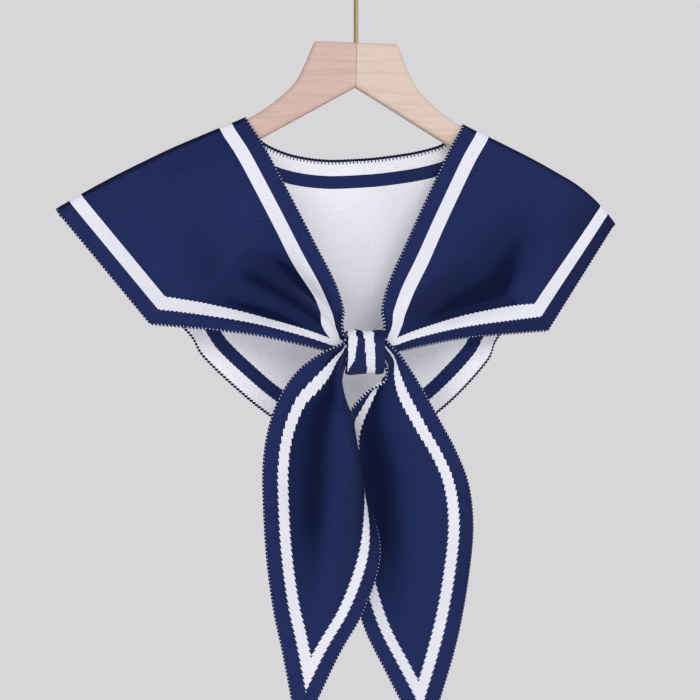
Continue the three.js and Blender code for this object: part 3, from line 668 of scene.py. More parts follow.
def sheet_piece(name, grid, thickness, pattern, split=(0, 0), beyond=None):
    """Closed cloth: the grid offset half the thickness to each side, and a rounded rim between the two.

    pattern maps an attribute to its values on the grid, and beyond to those it has between the rows of
    split, so that it can change sharply there. UVMap holds pairs and the others hold single numbers.
    Material 0 is on the face and 1 on the reverse, and each has half of the rim.
    """
    rows, columns = grid.shape[:2]
    offset = sheet_normals(grid) * thickness / 2
    face, reverse = np.arange(2 * rows * columns).reshape(2, rows, columns)
    front = quads(face[:-1, :-1], face[1:, :-1], face[1:, 1:], face[:-1, 1:])
    back = quads(reverse[:-1, :-1], reverse[:-1, 1:], reverse[1:, 1:], reverse[1:, :-1])
    edge = border(grid)
    inside = np.concatenate([grid[:-1, 1], grid[-2, :-1], grid[:0:-1, -2], grid[1, :0:-1]])
    rim = edge + unit(edge - inside) * thickness * RIM_SHARE
    rim_ids = 2 * rows * columns + np.arange(len(rim))
    face_edge, reverse_edge = border(face), border(reverse)
    rim_front = quads(face_edge, rim_ids, np.roll(rim_ids, -1), np.roll(face_edge, -1))
    rim_back = quads(rim_ids, reverse_edge, np.roll(reverse_edge, -1), np.roll(rim_ids, -1))
    faces = np.concatenate([front, back, rim_front, rim_back])
    points = np.concatenate([(grid + offset).reshape(-1, 3), (grid - offset).reshape(-1, 3), rim])
    piece = new_piece(name, points, faces)
    material = np.repeat([0, 1, 0, 1], [len(front), len(back), len(rim_front), len(rim_back)])
    piece.data.polygons.foreach_set("material_index", material.astype(np.int32))
    # Each corner of a face reads the grid place of its point, and a rim point reads its border place.
    place = np.concatenate([np.tile(np.arange(rows * columns), 2), face_edge])
    corner_place = place[faces.reshape(-1)]
    cell_row = np.repeat(np.arange(rows - 1), columns - 1)
    corner_row = np.repeat(np.concatenate([cell_row, cell_row, np.tile(face_edge // columns, 2)]), 4)
    in_split = (corner_row >= split[0]) & (corner_row < split[1])
    for key, values in pattern.items():
        picked = values.reshape(rows * columns, -1)[corner_place]
        if beyond and key in beyond:
            past = beyond[key].reshape(rows * columns, -1)[corner_place]
            picked = np.where(in_split[:, None], past, picked)
        flat = picked.astype(np.float32).ravel()
        if key == "UVMap":
            piece.data.uv_layers.new(name=key).data.foreach_set("uv", flat)
        else:
            piece.data.attributes.new(key, "FLOAT", "CORNER").data.foreach_set("value", flat)
    return piece


def bead(rounds=8, levels=5):
    """A unit ball of few faces: levels of a circle, and a point at each end of Z."""
    a = np.arange(rounds) * 2 * math.pi / rounds
    h = np.arange(1, levels) * math.pi / levels
    ring = np.stack([
        np.sin(h)[:, None] * np.cos(a), np.sin(h)[:, None] * np.sin(a),
        np.repeat(np.cos(h)[:, None], rounds, 1)], axis=-1).reshape(-1, 3)
    points = np.concatenate([[[0, 0, 1]], ring, [[0, 0, -1]]])
    faces = []
    for k in range(rounds):
        n = (k + 1) % rounds
        faces.append((0, 1 + k, 1 + n))
        for level in range(levels - 2):
            base = 1 + level * rounds
            faces.append((base + k, base + rounds + k, base + rounds + n))
            faces.append((base + k, base + rounds + n, base + n))
        base = 1 + (levels - 2) * rounds
        faces.append((base + k, len(points) - 1, base + n))
    return points, np.array(faces)


def read_along(at, lengths, values):
    """Rows of values at lengths along a line, straight between its points."""
    return np.stack([np.interp(at, lengths, values[:, k]) for k in range(3)], axis=-1)


def edge_loops(name, curves, pitch, shift, radii, outward_by):
    """Loops of yarn along edges: a small ball at each step, stretched along, out of and through the edge.

    Each curve is (points, outward, normal). The loops stand about a pitch apart, and the first one stands
    shift pitches from the start.
    """
    ball, ball_faces = bead()
    all_points, all_faces = [], []
    total = 0
    for points, outward, normal in curves:
        lengths = run_lengths(points)
        count = max(int(lengths[-1] / pitch), 1)
        at = (np.arange(count) + shift) * lengths[-1] / count
        at = at[at < lengths[-1]]
        out, through = unit(read_along(at, lengths, outward)), unit(read_along(at, lengths, normal))
        through = unit(through - out * (through * out).sum(-1, keepdims=True))
        centre = read_along(at, lengths, points) + out * outward_by
        axes = np.stack([np.cross(out, through) * radii[0], out * radii[1], through * radii[2]], axis=1)
        placed = centre[:, None] + np.einsum("pk,nkc->npc", ball, axes)
        all_points.append(placed.reshape(-1, 3))
        offsets = total + np.arange(len(at)) * len(ball)
        all_faces.append((ball_faces[None] + offsets[:, None, None]).reshape(-1, 3))
        total += len(at) * len(ball)
    return new_piece(name, np.concatenate(all_points), np.concatenate(all_faces))


def edge_curve(grid, side, keep=slice(None)):
    """Points, outward directions and face normals along one long edge of a grid."""
    normal = sheet_normals(grid)
    column, inner = (0, 1) if side == "first" else (-1, -2)
    points = grid[:, column]
    return points[keep], unit(points - grid[:, inner])[keep], normal[:, column][keep]


# Shader nodes

def node_tree(name):
    """A new material, its nodes and its shader."""
    material = bpy.data.materials.new(name)
    material.use_nodes = True
    return material, material.node_tree, material.node_tree.nodes["Principled BSDF"]


def wire(tree, output, target):
    """Links an output to an input."""
    tree.links.new(output, target)


def maths(tree, operation, a, b=None, c=None):
    """A Math node whose inputs are numbers or the outputs of other nodes."""
    node = tree.nodes.new("ShaderNodeMath")
    node.operation = operation
    for socket, value in zip(node.inputs, (a, b, c)):
        if value is None:
            continue
        if isinstance(value, (int, float)):
            socket.default_value = value
        else:
            wire(tree, value, socket)
    return node.outputs[0]


def mixed(tree, factor, a, b):
    """Colour a where the factor is 0 and colour b where it is 1."""
    node = tree.nodes.new("ShaderNodeMix")
    node.data_type = "RGBA"
    for socket, value in ((node.inputs[0], factor), (node.inputs[6], a), (node.inputs[7], b)):
        if isinstance(value, (int, float)):
            socket.default_value = value
        elif isinstance(value, (tuple, list)) or hasattr(value, "r"):
            socket.default_value = (*tuple(value)[:3], 1)
        else:
            wire(tree, value, socket)
    return node.outputs[2]


def noise(tree, vector, scale, detail=2.0, roughness=0.5):
    """Noise from 0 to 1 over a place."""
    node = tree.nodes.new("ShaderNodeTexNoise")
    node.inputs["Scale"].default_value = scale
    node.inputs["Detail"].default_value = detail
    node.inputs["Roughness"].default_value = roughness
    wire(tree, vector, node.inputs["Vector"])
    return node.outputs["Fac"]


def ramp(tree, factor, low, high, bottom=0.0, top=1.0):
    """Bottom where the factor is low or less, top where it is high or more, and straight between them."""
    node = tree.nodes.new("ShaderNodeMapRange")
    node.inputs["From Min"].default_value = low
    node.inputs["From Max"].default_value = high
    node.inputs["To Min"].default_value = bottom
    node.inputs["To Max"].default_value = top
    wire(tree, factor, node.inputs["Value"])
    return node.outputs["Result"]


def stepped(tree, value, step):
    """The value brought down to a whole number of steps."""
    return maths(tree, "MULTIPLY", maths(tree, "FLOOR", maths(tree, "DIVIDE", value, step)), step)


def slanted(tree, height, line):
    """Where a slanting line is at a height: its place at nought, and its slant times the height."""
    place, slant = line
    return maths(tree, "MULTIPLY_ADD", height, slant, place)


def object_place(tree):
    """Place in the part's own frame."""
    return tree.nodes.new("ShaderNodeTexCoord").outputs["Object"]


def flat_place(tree):
    """Place across and along the flat cloth in millimetres, from the UV map."""
    uv = tree.nodes.new("ShaderNodeUVMap")
    uv.uv_map = "UVMap"
    split = tree.nodes.new("ShaderNodeSeparateXYZ")
    wire(tree, uv.outputs[0], split.inputs[0])
    return split.outputs[0], split.outputs[1]


def read_attribute(tree, name):
    """A number that the mesh holds at each corner of its faces."""
    node = tree.nodes.new("ShaderNodeAttribute")
    node.attribute_name = name
    return node.outputs["Fac"]


def paint(tree, shader, colour, shade):
    """Base colour: the colour times the shade."""
    scaled = tree.nodes.new("ShaderNodeVectorMath")
    scaled.operation = "SCALE"
    wire(tree, colour, scaled.inputs[0])
    wire(tree, shade, scaled.inputs["Scale"])
    wire(tree, scaled.outputs[0], shader.inputs["Base Color"])


def emboss(tree, shader, height, strength, depth):
    """Bumps of the height, with their depth in metres."""
    bumps = tree.nodes.new("ShaderNodeBump")
    bumps.inputs["Strength"].default_value = strength
    bumps.inputs["Distance"].default_value = depth
    wire(tree, height, bumps.inputs["Height"])
    wire(tree, bumps.outputs[0], shader.inputs["Normal"])


# Finishes

def stitches(tree, u, v, sizes):
    """Height of the stitches from 0 to 1, where u and v are the place in the flat cloth.

    A wale is a column of chevrons: ridges of a cosine along V, bent by the distance from the wale's middle,
    times two legs, which are the half waves of a sine across the wale.
    """
    across = maths(tree, "FRACT", maths(tree, "DIVIDE", u, sizes.wale_width / MM))
    bent = maths(tree, "ABSOLUTE", maths(tree, "SUBTRACT", across, 0.5))
    course = maths(tree, "DIVIDE", v, sizes.course_height / MM)
    rise = maths(tree, "MULTIPLY_ADD", bent, CHEVRON_RISE, course)
    wave = maths(tree, "COSINE", maths(tree, "MULTIPLY", rise, 2 * math.pi))
    ridge = maths(tree, "MULTIPLY_ADD", wave, -0.5, 0.5)
    leg = maths(tree, "ABSOLUTE", maths(tree, "SINE", maths(tree, "MULTIPLY", across, 2 * math.pi)))
    standing = maths(tree, "MULTIPLY_ADD", ridge, RIDGE_SHARE, 1 - RIDGE_SHARE)
    return maths(tree, "MULTIPLY", standing, maths(tree, "POWER", leg, LEG_POWER))


def yarn_tone(tree, colour):
    """0 for the dark yarn and 1 for the white one."""
    parts = tree.nodes.new("ShaderNodeSeparateColor")
    wire(tree, colour, parts.inputs[0])
    return ramp(tree, parts.outputs[0], *TONE_SPAN)


def yarn_gloss(tree, shader, tone, ridge, low, high, deep=0.0):
    """Dark yarn has a blue gleam: roughness low on the ridges and high between them. White yarn is dull."""
    dark = maths(tree, "MAXIMUM", ramp(tree, ridge, 0, 1, high, low), deep)
    dull = maths(tree, "MULTIPLY", tone, WHITE_ROUGHNESS)
    rough = maths(tree, "MULTIPLY_ADD", dark, maths(tree, "SUBTRACT", 1.0, tone), dull)
    wire(tree, rough, shader.inputs["Roughness"])
    shader.inputs["IOR"].default_value = YARN_IOR
    shader.inputs["Specular IOR Level"].default_value = 1.0
    shader.inputs["Specular Tint"].default_value = GLEAM_TINT


def knit_material(name, ground, band, stripe, edges, sizes, widths, tapered, bump=FACE_BUMP):
    """Knit with a band along its edges and a stripe beside the band.

    Each name in edges is an attribute that holds the distance to one edge in millimetres. The band reaches
    as far as the first of widths, and the stripe as far again as the second. A border that runs across the
    wales has a tooth for each pair of wales, and on tapered cloth one for each group of courses: the
    fraction of the place along the border is added to the distance. The shade is the stitches' height as
    painted light and shade, drifts and fuzz multiplied, and painted shade darkens dark yarn in the valleys of
    folds and in the bands of painted fold shade, by an attribute of the cloth.
    """
    material, tree, shader = node_tree(name)
    u, v = flat_place(tree)
    tooth_pitch = (sizes.taper_pitch if tapered else sizes.loop_pitch) / MM
    tooth_depth = sizes.tooth_depth / MM * (1.0 if tapered else STRAIGHT_TOOTH)
    tooth = maths(tree, "FRACT", maths(tree, "DIVIDE", v if tapered else u, tooth_pitch))
    tooth = maths(tree, "SUBTRACT", tooth, 0.5)
    distance = None
    for edge in edges:
        reach = read_attribute(tree, edge)
        if edge not in SMOOTH_EDGES:
            reach = maths(tree, "MULTIPLY_ADD", tooth, tooth_depth, reach)
        distance = reach if distance is None else maths(tree, "MINIMUM", distance, reach)
    in_band = maths(tree, "LESS_THAN", distance, widths[0])
    in_border = maths(tree, "LESS_THAN", distance, widths[0] + widths[1])
    colour = mixed(tree, in_border, ground, stripe)
    colour = mixed(tree, in_band, colour, band)
    place = object_place(tree)
    drift = ramp(tree, noise(tree, place, scale=14, detail=3), *DRIFT_SPAN, *DRIFT_SHADE)
    fuzz = noise(tree, place, FUZZ_SCALE, FUZZ_DETAIL, FUZZ_ROUGHNESS)
    stitch = stitches(tree, u, v, sizes)
    tone = yarn_tone(tree, colour)
    # Painted light and shade of the stitches: ridges painted lighter and grooves darker, most on dark yarn.
    depth = ramp(tree, tone, 0, 1, *STITCH_PAINTED_SHADE)
    shade = maths(tree, "MULTIPLY_ADD", maths(tree, "SUBTRACT", stitch, STITCH_MIDDLE), depth, MIDDLE_SHADE)
    shade = maths(tree, "MULTIPLY", shade, drift)
    shade = maths(tree, "MULTIPLY", shade, ramp(tree, fuzz, *FUZZ_SPAN, *FUZZ_SHADE))
    # Painted shade: dark yarn is painted darker in the valleys of folds and in the bands of painted fold
    # shade.
    painted_valley_shade = ramp(tree, read_attribute(tree, "painted_shade_relief"), *VALLEY_SPAN, 1.0, 0.0)
    deep = maths(tree, "MULTIPLY", painted_valley_shade, maths(tree, "SUBTRACT", 1.0, tone))
    shade = maths(tree, "MULTIPLY", shade, ramp(tree, deep, 0, 1, 1.0, VALLEY_PAINTED_SHADE))
    paint(tree, shader, colour, shade)
    emboss(tree, shader, maths(tree, "MULTIPLY_ADD", fuzz, FUZZ_HEIGHT, stitch), bump, STITCH_DEPTH)
    yarn_gloss(tree, shader, tone, stitch, *KNIT_GLOSS, deep)
    return material


def knot_material(name, colours, sizes):
    """Knit of the knot band: two white stripes that change their place and width as they go round.

    V is folded back to a height above or below the front's middle. The left stripe widens down to the
    middle and ends in a point below it, and the right one slants.
    """
    material, tree, shader = node_tree(name)
    u, v = flat_place(tree)
    half_round = KNOT_LAP / 2
    below = maths(tree, "MULTIPLY_ADD", maths(tree, "GREATER_THAN", v, half_round), -2.0, 1.0)
    height = maths(tree, "MULTIPLY", maths(tree, "PINGPONG", v, half_round), below)
    height = stepped(tree, height, sizes.course_height / MM)
    height = maths(tree, "MAXIMUM", maths(tree, "MINIMUM", height, STRIPE_REACH), -STRIPE_REACH)
    place = object_place(tree)
    wobble = maths(tree, "SUBTRACT", noise(tree, place, scale=170), 0.5)
    moved = stepped(tree, maths(tree, "MULTIPLY_ADD", wobble, STRIPE_WOBBLE, u), sizes.wale_width / MM / 2)
    point = maths(tree, "MINIMUM", *(slanted(tree, height, line) for line in LEFT_STRIPE_ENDS))
    sides = ((LEFT_STRIPE_START, point), tuple(slanted(tree, height, line) for line in RIGHT_STRIPE))
    white = 0.0
    for low, high in sides:
        past_low, before_high = maths(tree, "GREATER_THAN", moved, low), maths(tree, "LESS_THAN", moved, high)
        white = maths(tree, "ADD", maths(tree, "MULTIPLY", past_low, before_high), white)
    # The band's white stripes take the white yarn painted darker, as painted shade.
    colour = mixed(tree, white, tuple(colours.navy_band), tuple(colours.stripe))
    fuzz = noise(tree, place, FUZZ_SCALE, FUZZ_DETAIL, FUZZ_ROUGHNESS)
    stitch = stitches(tree, u, v, sizes)
    # Painted light and shade of the stitches: ridges painted lighter and grooves darker.
    shade = maths(tree, "MULTIPLY_ADD", stitch, KNOT_STITCH_PAINTED_SHADE, KNOT_GROOVE_PAINTED_SHADE)
    paint(tree, shader, colour, maths(tree, "MULTIPLY", shade, ramp(tree, fuzz, *FUZZ_SPAN, *FUZZ_SHADE)))
    emboss(tree, shader, maths(tree, "MULTIPLY_ADD", fuzz, FUZZ_HEIGHT, stitch), KNOT_BUMP, STITCH_DEPTH)
    yarn_gloss(tree, shader, yarn_tone(tree, colour), stitch, *KNIT_GLOSS)
    return material


def yarn_material(name, colour, low=0.7, high=0.9):
    """Yarn of the edge loops: its colour with fine fibres as bump and shade."""
    material, tree, shader = node_tree(name)
    colour = tuple(colour)[:3]
    fibre = noise(tree, object_place(tree), scale=1500, roughness=0.7)
    cloud = noise(tree, object_place(tree), scale=60)
    spread = maths(tree, "MULTIPLY_ADD", cloud, 0.5, maths(tree, "MULTIPLY", fibre, 0.5))
    shade = mixed(tree, spread, tuple(c * YARN_DARK for c in colour), colour)
    wire(tree, shade, shader.inputs["Base Color"])
    emboss(tree, shader, fibre, strength=0.4, depth=0.0003)
    yarn_gloss(tree, shader, yarn_tone(tree, shade), fibre, low, high)
    return material


def wood_material(name, pale, dark, turn, shift):
    """Sanded pale wood: rings folded from a drawn-out noise, fine lines along the arm, and dark pores."""
    material, tree, shader = node_tree(name)
    place = object_place(tree)

    def stretched(scale):
        mapping = tree.nodes.new("ShaderNodeMapping")
        mapping.inputs["Location"].default_value = (shift, shift * 2, 0)
        mapping.inputs["Rotation"].default_value = (0, turn, 0)
        mapping.inputs["Scale"].default_value = scale
        wire(tree, place, mapping.inputs["Vector"])
        return mapping.outputs[0]

    figure = noise(tree, stretched(FIGURE_SCALE), scale=1.6, detail=3, roughness=0.55)
    rings = maths(tree, "FRACT", maths(tree, "MULTIPLY", figure, RING_COUNT))
    rings = maths(tree, "ABSOLUTE", maths(tree, "MULTIPLY_ADD", rings, 2, -1))
    lines = noise(tree, stretched(LINE_SCALE), scale=1.0, detail=3, roughness=0.7)
    pores = noise(tree, stretched(PORE_SCALE), scale=1.0, detail=1)
    grain = maths(tree, "MULTIPLY_ADD", rings, GRAIN_SHARE, maths(tree, "MULTIPLY", lines, GRAIN_SHARE))
    paint(tree, shader, mixed(tree, grain, dark, pale), ramp(tree, pores, *PORE_SPAN, 1.0, PORE_SHADE))
    wire(tree, ramp(tree, lines, *LINE_SPAN, *WOOD_GLOSS), shader.inputs["Roughness"])
    emboss(tree, shader, maths(tree, "ADD", lines, pores), strength=0.15, depth=0.0002)
    return material


def brass_material(name, colour):
    """Polished brass-coloured wire with faint drawing marks and patches of handling."""
    material, tree, shader = node_tree(name)
    colour = tuple(colour)[:3]
    patches = noise(tree, object_place(tree), scale=90, detail=3)
    marks = noise(tree, object_place(tree), scale=1600, roughness=0.7)
    dark = tuple(c * BRASS_DARK for c in colour)
    wire(tree, mixed(tree, patches, dark, colour), shader.inputs["Base Color"])
    wire(tree, ramp(tree, patches, *BRASS_SPAN, *BRASS_GLOSS), shader.inputs["Roughness"])
    emboss(tree, shader, marks, strength=0.08, depth=0.0001)
    shader.inputs["Metallic"].default_value = BRASS_METAL
    return material


def knit_pair(prefix, edges, tapered, context):
    """Face and reverse of the knit, made once for each set of edge attributes."""
    sizes, colours = context.scene.collar_sizes, context.scene.collar_colours
    navy, band, white = tuple(colours.navy), tuple(colours.navy_band), tuple(colours.white)
    widths = (sizes.band_width / MM, sizes.stripe_width / MM)
    if tapered:
        widths = (sizes.tail_band_width / MM, sizes.tail_stripe_width / MM)
    # The face's stripe takes the white yarn painted darker, as painted shade.
    face = knit_material(prefix + "_face", navy, band, tuple(colours.stripe), edges, sizes, widths, tapered)
    reverse = knit_material(prefix + "_reverse", white, white, band, edges, sizes, widths, tapered,
                            REVERSE_BUMP)
    return face, reverse


# Add-on

class CollarSizes(bpy.types.PropertyGroup):
    """Sizes of the cloth and its pattern."""
    thickness: bpy.props.FloatProperty(
        name="Cloth thickness", description="Thickness of the knit", default=0.0021, unit="LENGTH")
    wale_width: bpy.props.FloatProperty(
        name="Wale width", description="Width of one column of stitches", default=0.0022, unit="LENGTH")
    course_height: bpy.props.FloatProperty(
        name="Course height", description="Height of one row of stitches", default=0.0020, unit="LENGTH")
    band_width: bpy.props.FloatProperty(
        name="Band width", description="Width of the band along the edge", default=0.0125, unit="LENGTH")
    stripe_width: bpy.props.FloatProperty(
        name="Stripe width", description="Width of the stripe beside the band", default=0.0115, unit="LENGTH")
    tail_band_width: bpy.props.FloatProperty(
        name="Tail band width", description="Width of the band on the tails", default=0.0122, unit="LENGTH")
    tail_stripe_width: bpy.props.FloatProperty(
        name="Tail stripe width", description="Width of the tails' stripe", default=0.0092, unit="LENGTH")
    taper_pitch: bpy.props.FloatProperty(
        name="Taper pitch", description="Height of one tooth on tapered cloth", default=0.0052, unit="LENGTH")
    tooth_depth: bpy.props.FloatProperty(
        name="Tooth depth", description="Depth of the teeth of a border", default=0.0016, unit="LENGTH")
    loop_pitch: bpy.props.FloatProperty(
        name="Loop pitch", description="Distance between two edge loops", default=0.0032, unit="LENGTH")
    gathered_width: bpy.props.FloatProperty(
        name="Gathered width", description="Flat width of the cloth in the knot", default=0.06, unit="LENGTH")


class CollarColours(bpy.types.PropertyGroup):
    """Colours of the yarns, the wood and the wire."""
    navy: bpy.props.FloatVectorProperty(
        name="Navy", description="Ground of the face", subtype="COLOR",
        size=3, default=(0.0066, 0.0066, 0.0165), min=0, max=1)
    navy_band: bpy.props.FloatVectorProperty(
        name="Band navy", description="Band along the edges", subtype="COLOR",
        size=3, default=(0.0085, 0.0070, 0.019), min=0, max=1)
    white: bpy.props.FloatVectorProperty(
        name="White", description="Ground of the reverse", subtype="COLOR",
        size=3, default=(0.75, 0.75, 0.755), min=0, max=1)
    # The stripe is the reverse's white yarn painted darker, as painted shade, on the face and on the knot
    # band.
    stripe: bpy.props.FloatVectorProperty(
        name="Stripe", description="Stripe of the face", subtype="COLOR",
        size=3, default=(0.62, 0.62, 0.635), min=0, max=1)
    left_wood: bpy.props.FloatVectorProperty(
        name="Left wood", description="Left half of the hanger", subtype="COLOR",
        size=3, default=(0.47, 0.335, 0.283), min=0, max=1)
    right_wood: bpy.props.FloatVectorProperty(
        name="Right wood", description="Right half of the hanger", subtype="COLOR",
        size=3, default=(0.51, 0.408, 0.343), min=0, max=1)
    brass: bpy.props.FloatVectorProperty(
        name="Brass", description="Wire of the hook", subtype="COLOR",
        size=3, default=(0.62, 0.44, 0.22), min=0, max=1)


class COLLAR_OT_panel(bpy.types.Operator):
    """Knit the collar from the knot over one shoulder, round the back and over the other one"""
    bl_idname = "collar.panel"
    bl_label = "Collar"

    def execute(self, context):
        s = np.linspace(0, 1, COLLAR_COLUMNS + 1)[None, :]
        to_corner = CORNER_AT * (np.arange(CORNER_ROW + 1) / CORNER_ROW) ** WING_CROWDING
        past_corner = np.arange(1, WING_ROWS - CORNER_ROW + 1) / (WING_ROWS - CORNER_ROW)
        stations = np.concatenate([to_corner, lerp(CORNER_AT, 1, past_corner)])
        turn = np.arange(SADDLE_ROWS + 1) / SADDLE_ROWS
        turns = np.concatenate([turn[1:] - 1 - OFF_TOP, turn[:-1] + OFF_TOP])
        halves = {}
        for name in ("left", "right"):
            halves[name] = np.concatenate([
                wing_surface(name, s, stations[:, None]), saddle(WINGS[name], s, turns[:, None]),
                back_surface(name, s, np.arange(BACK_ROWS)[:, None] / BACK_ROWS)])
        middle = back_surface("left", s, np.ones((1, 1)))
        grid = np.concatenate([halves["left"], middle, halves["right"][::-1]])
        front_rows = len(stations) + len(turns)
        back_end = len(grid) - front_rows
        places = np.concatenate([stations, np.ones(len(halves["left"]) - len(stations))])
        flats = [wing_flat(halves[name], places, front_rows) for name in ("left", "right")]
        gap = np.zeros((1, COLLAR_COLUMNS + 1))
        u, v, lapel, side, hem = (np.concatenate([a, gap, b[::-1]]) for a, b in zip(*flats))
        # Painted shade of the folds: the table's bands and the cloth's valleys, held for the knit to paint
        # the navy darker.
        shade = np.concatenate([
            painted_fold_shade("left_wing", s, places[:, None]), gap, painted_fold_shade("right_wing", s, places[:, None])[::-1]])
        back_neck = line_distance(grid, grid[front_rows:back_end:NECK_STEP, 0], reach=1.0)
        back_hem = line_distance(grid, grid[front_rows:back_end:SIDE_STEP, -1], reach=1.0)
        piece = sheet_piece(
            "collar_cloth", grid, context.scene.collar_sizes.thickness / MM,
            {"UVMap": np.stack([u, v], axis=-1), "edge_inner": lapel, "edge_side": side, "edge_hem": hem,
             "painted_shade_relief": np.minimum(painted_shade_relief(grid), 0) - shade},
            (front_rows, back_end - 1),
            {"UVMap": grid[..., ::2], "edge_inner": back_neck, "edge_side": back_hem, "edge_hem": back_hem})
        for material in knit_pair("collar_knit", ("edge_inner", "edge_side", "edge_hem"), False, context):
            piece.data.materials.append(material)
        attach(piece, "root")
        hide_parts("collar_panel")
        left, behind = slice(HIDDEN_ROWS, front_rows + 1), slice(front_rows, back_end)
        right = slice(back_end - 1, len(grid) - HIDDEN_ROWS)
        EDGES["wings"] = [
            edge_curve(grid, side, keep) for side in ("first", "last") for keep in (left, right)]
        EDGES["neckline"] = [edge_curve(grid, "first", behind)]
        EDGES["back_hem"] = [edge_curve(grid, "last", behind)]
        return {"FINISHED"}


class COLLAR_OT_tails(bpy.types.Operator):
    """Knit the two tails that hang from the knot"""
    bl_idname = "collar.tails"
    bl_label = "Tails"

    def execute(self, context):
        sizes = context.scene.collar_sizes
        materials = knit_pair("tail_knit", ("edge_left", "edge_right"), True, context)
        s = np.linspace(0, 1, TAIL_COLUMNS + 1)[None, :]
        along = np.linspace(0, 1, TAIL_ROWS + 1)
        EDGES["tails"] = []
        for name in ("left", "right"):
            grid = tail_surface(name, TAIL_COLUMNS, TAIL_ROWS)
            width = np.linalg.norm(np.diff(grid, axis=1), axis=-1).sum(axis=1)
            gathered = width * flat_scale(width, sizes.gathered_width / MM)
            flat_width = np.where(along > GATHERED_TO, width, gathered)[:, None]
            v = run_lengths(grid[:, TAIL_COLUMNS // 2])[:, None]
            flat = np.stack(np.broadcast_arrays((s - 0.5) * flat_width, -v), axis=-1)
            # Painted shade of the folds: the table's bands and the cloth's valleys, held for the knit to
            # paint the navy darker.
            piece = sheet_piece(name + "_tail_cloth", grid, sizes.thickness / MM, {
                "UVMap": flat,
                "edge_left": line_distance(flat, flat[::HEM_STEP, 0]),
                "edge_right": line_distance(flat, flat[::HEM_STEP, -1]),
                "painted_shade_relief": np.minimum(painted_shade_relief(grid), 0) - painted_fold_shade(name + "_tail", s, along[:, None])})
            for material in materials:
                piece.data.materials.append(material)
            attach(piece, "root")
            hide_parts(name + "_tail")
            for side in ("first", "last"):
                looped = slice(LOOPED_FROM[name][side], TAIL_ROWS - 1)
                EDGES["tails"].append(edge_curve(grid, side, looped))
        return {"FINISHED"}


class COLLAR_OT_knot(bpy.types.Operator):
    """Knit the band round the gathered ends"""
    bl_idname = "collar.knot"
    bl_label = "Knot band"

    def execute(self, context):
        points, across = knot_surface()
        ids = np.arange(KNOT_ROUNDS * KNOT_PROFILE).reshape(KNOT_ROUNDS, KNOT_PROFILE)
        next_round = np.roll(ids, -1, 0)
        faces = quads(ids, np.roll(ids, -1, 1), np.roll(next_round, -1, 1), next_round)
        piece = new_piece("knot_cloth", points, faces)
        # Each face spans a volume with the origin, and their sum is below nought if the faces look inwards.
        a, b, c = np.moveaxis(points.reshape(-1, 3)[faces[:, :3]], 1, 0)
        if (a * np.cross(b, c)).sum() < 0:
            piece.data.flip_normals()
        index = np.zeros(len(piece.data.loops), np.int32)
        piece.data.loops.foreach_get("vertex_index", index)
        # A face between the last round and the first one reads the first one as a full lap.
        row = (index // KNOT_PROFILE).reshape(-1, 4)
        closes = np.ptp(row, axis=1)[:, None] > 1
        lap = np.where(closes & (row == 0), KNOT_ROUNDS, row) * KNOT_LAP / KNOT_ROUNDS
        flat = np.stack([across[index % KNOT_PROFILE] + KNOT_WIDTH / 2, lap.ravel()], axis=-1)
        piece.data.uv_layers.new(name="UVMap").data.foreach_set("uv", flat.astype(np.float32).ravel())
        sizes, colours = context.scene.collar_sizes, context.scene.collar_colours
        piece.data.materials.append(knot_material("knot_knit", colours, sizes))
        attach(piece, "root")
        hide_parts("knot_band")
        return {"FINISHED"}


class COLLAR_OT_selvedge(bpy.types.Operator):
    """Loop navy and white yarn along the edges of the collar and its tails"""
    bl_idname = "collar.selvedge"
    bl_label = "Edge loops"

    def execute(self, context):
        if not EDGES:
            raise RuntimeError("The collar and its tails come before their edge loops")
        sizes, colours = context.scene.collar_sizes, context.scene.collar_colours
        # Painted shade: the neckline's and the back hem's loops get the band's navy at a share, a shaded copy
        # of it.
        band_in_painted_shade = tuple(c * PAINTED_SHADE_YARN_SHARE for c in tuple(colours.navy_band)[:3])
        materials = {
            "navy": yarn_material("navy_yarn", colours.navy_band),
            "dark": yarn_material("navy_yarn_in_painted_shade", band_in_painted_shade, *PAINTED_SHADE_YARN_GLOSS),
            "white": yarn_material("white_yarn", colours.white)}
        for name, part, slot, yarn, shift, radii, out in LOOPS:
            piece = edge_loops(name, EDGES[part], sizes.loop_pitch / MM, shift, radii, out)
            piece.data.materials.append(materials[yarn])
            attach(piece, "root")
        return {"FINISHED"}


class COLLAR_OT_hanger(bpy.types.Operator):
    """Finish the wood and the wire of the hanger"""
    bl_idname = "collar.hanger"
    bl_label = "Hanger"

    def execute(self, context):
        colours = context.scene.collar_colours
        finishes = {}
        for side, pale in (("left", colours.left_wood), ("right", colours.right_wood)):
            slant, shift, share = GRAINS[side]
            dark = tuple(c * share * k for c, k in zip(tuple(pale), DARK_GRAIN_TINT))
            wood = wood_material(side + "_wood", tuple(pale), dark, math.radians(slant), shift)
            finishes["hanger_" + side + "_half"] = wood
        finishes["hanger_hook"] = brass_material("hook_brass", colours.brass)
        for name, material in finishes.items():
            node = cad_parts[name]
            if not node.material_slots:
                raise RuntimeError(f"{name} has no material slot")
            for slot in node.material_slots:
                slot.material = material
        return {"FINISHED"}


def area_light(name, place, aim, size, power, colour):
    """A rectangular lamp that is turned about Z and tipped until it faces the point aim."""
    lamp = bpy.data.objects.new(name, bpy.data.lights.new(name, "AREA"))
    lamp.data.shape = "RECTANGLE"
    lamp.data.size, lamp.data.size_y = size
    lamp.data.energy = power
    lamp.data.color = colour
    bpy.context.scene.collection.objects.link(lamp)
    lamp.location = place
    direction = np.array(aim, float) - place
    yaw = math.atan2(direction[1], direction[0])
    pitch = math.atan2(direction[2], math.hypot(direction[0], direction[1]))
    lamp.rotation_euler = (math.pi / 2 + pitch, 0, yaw - math.pi / 2)


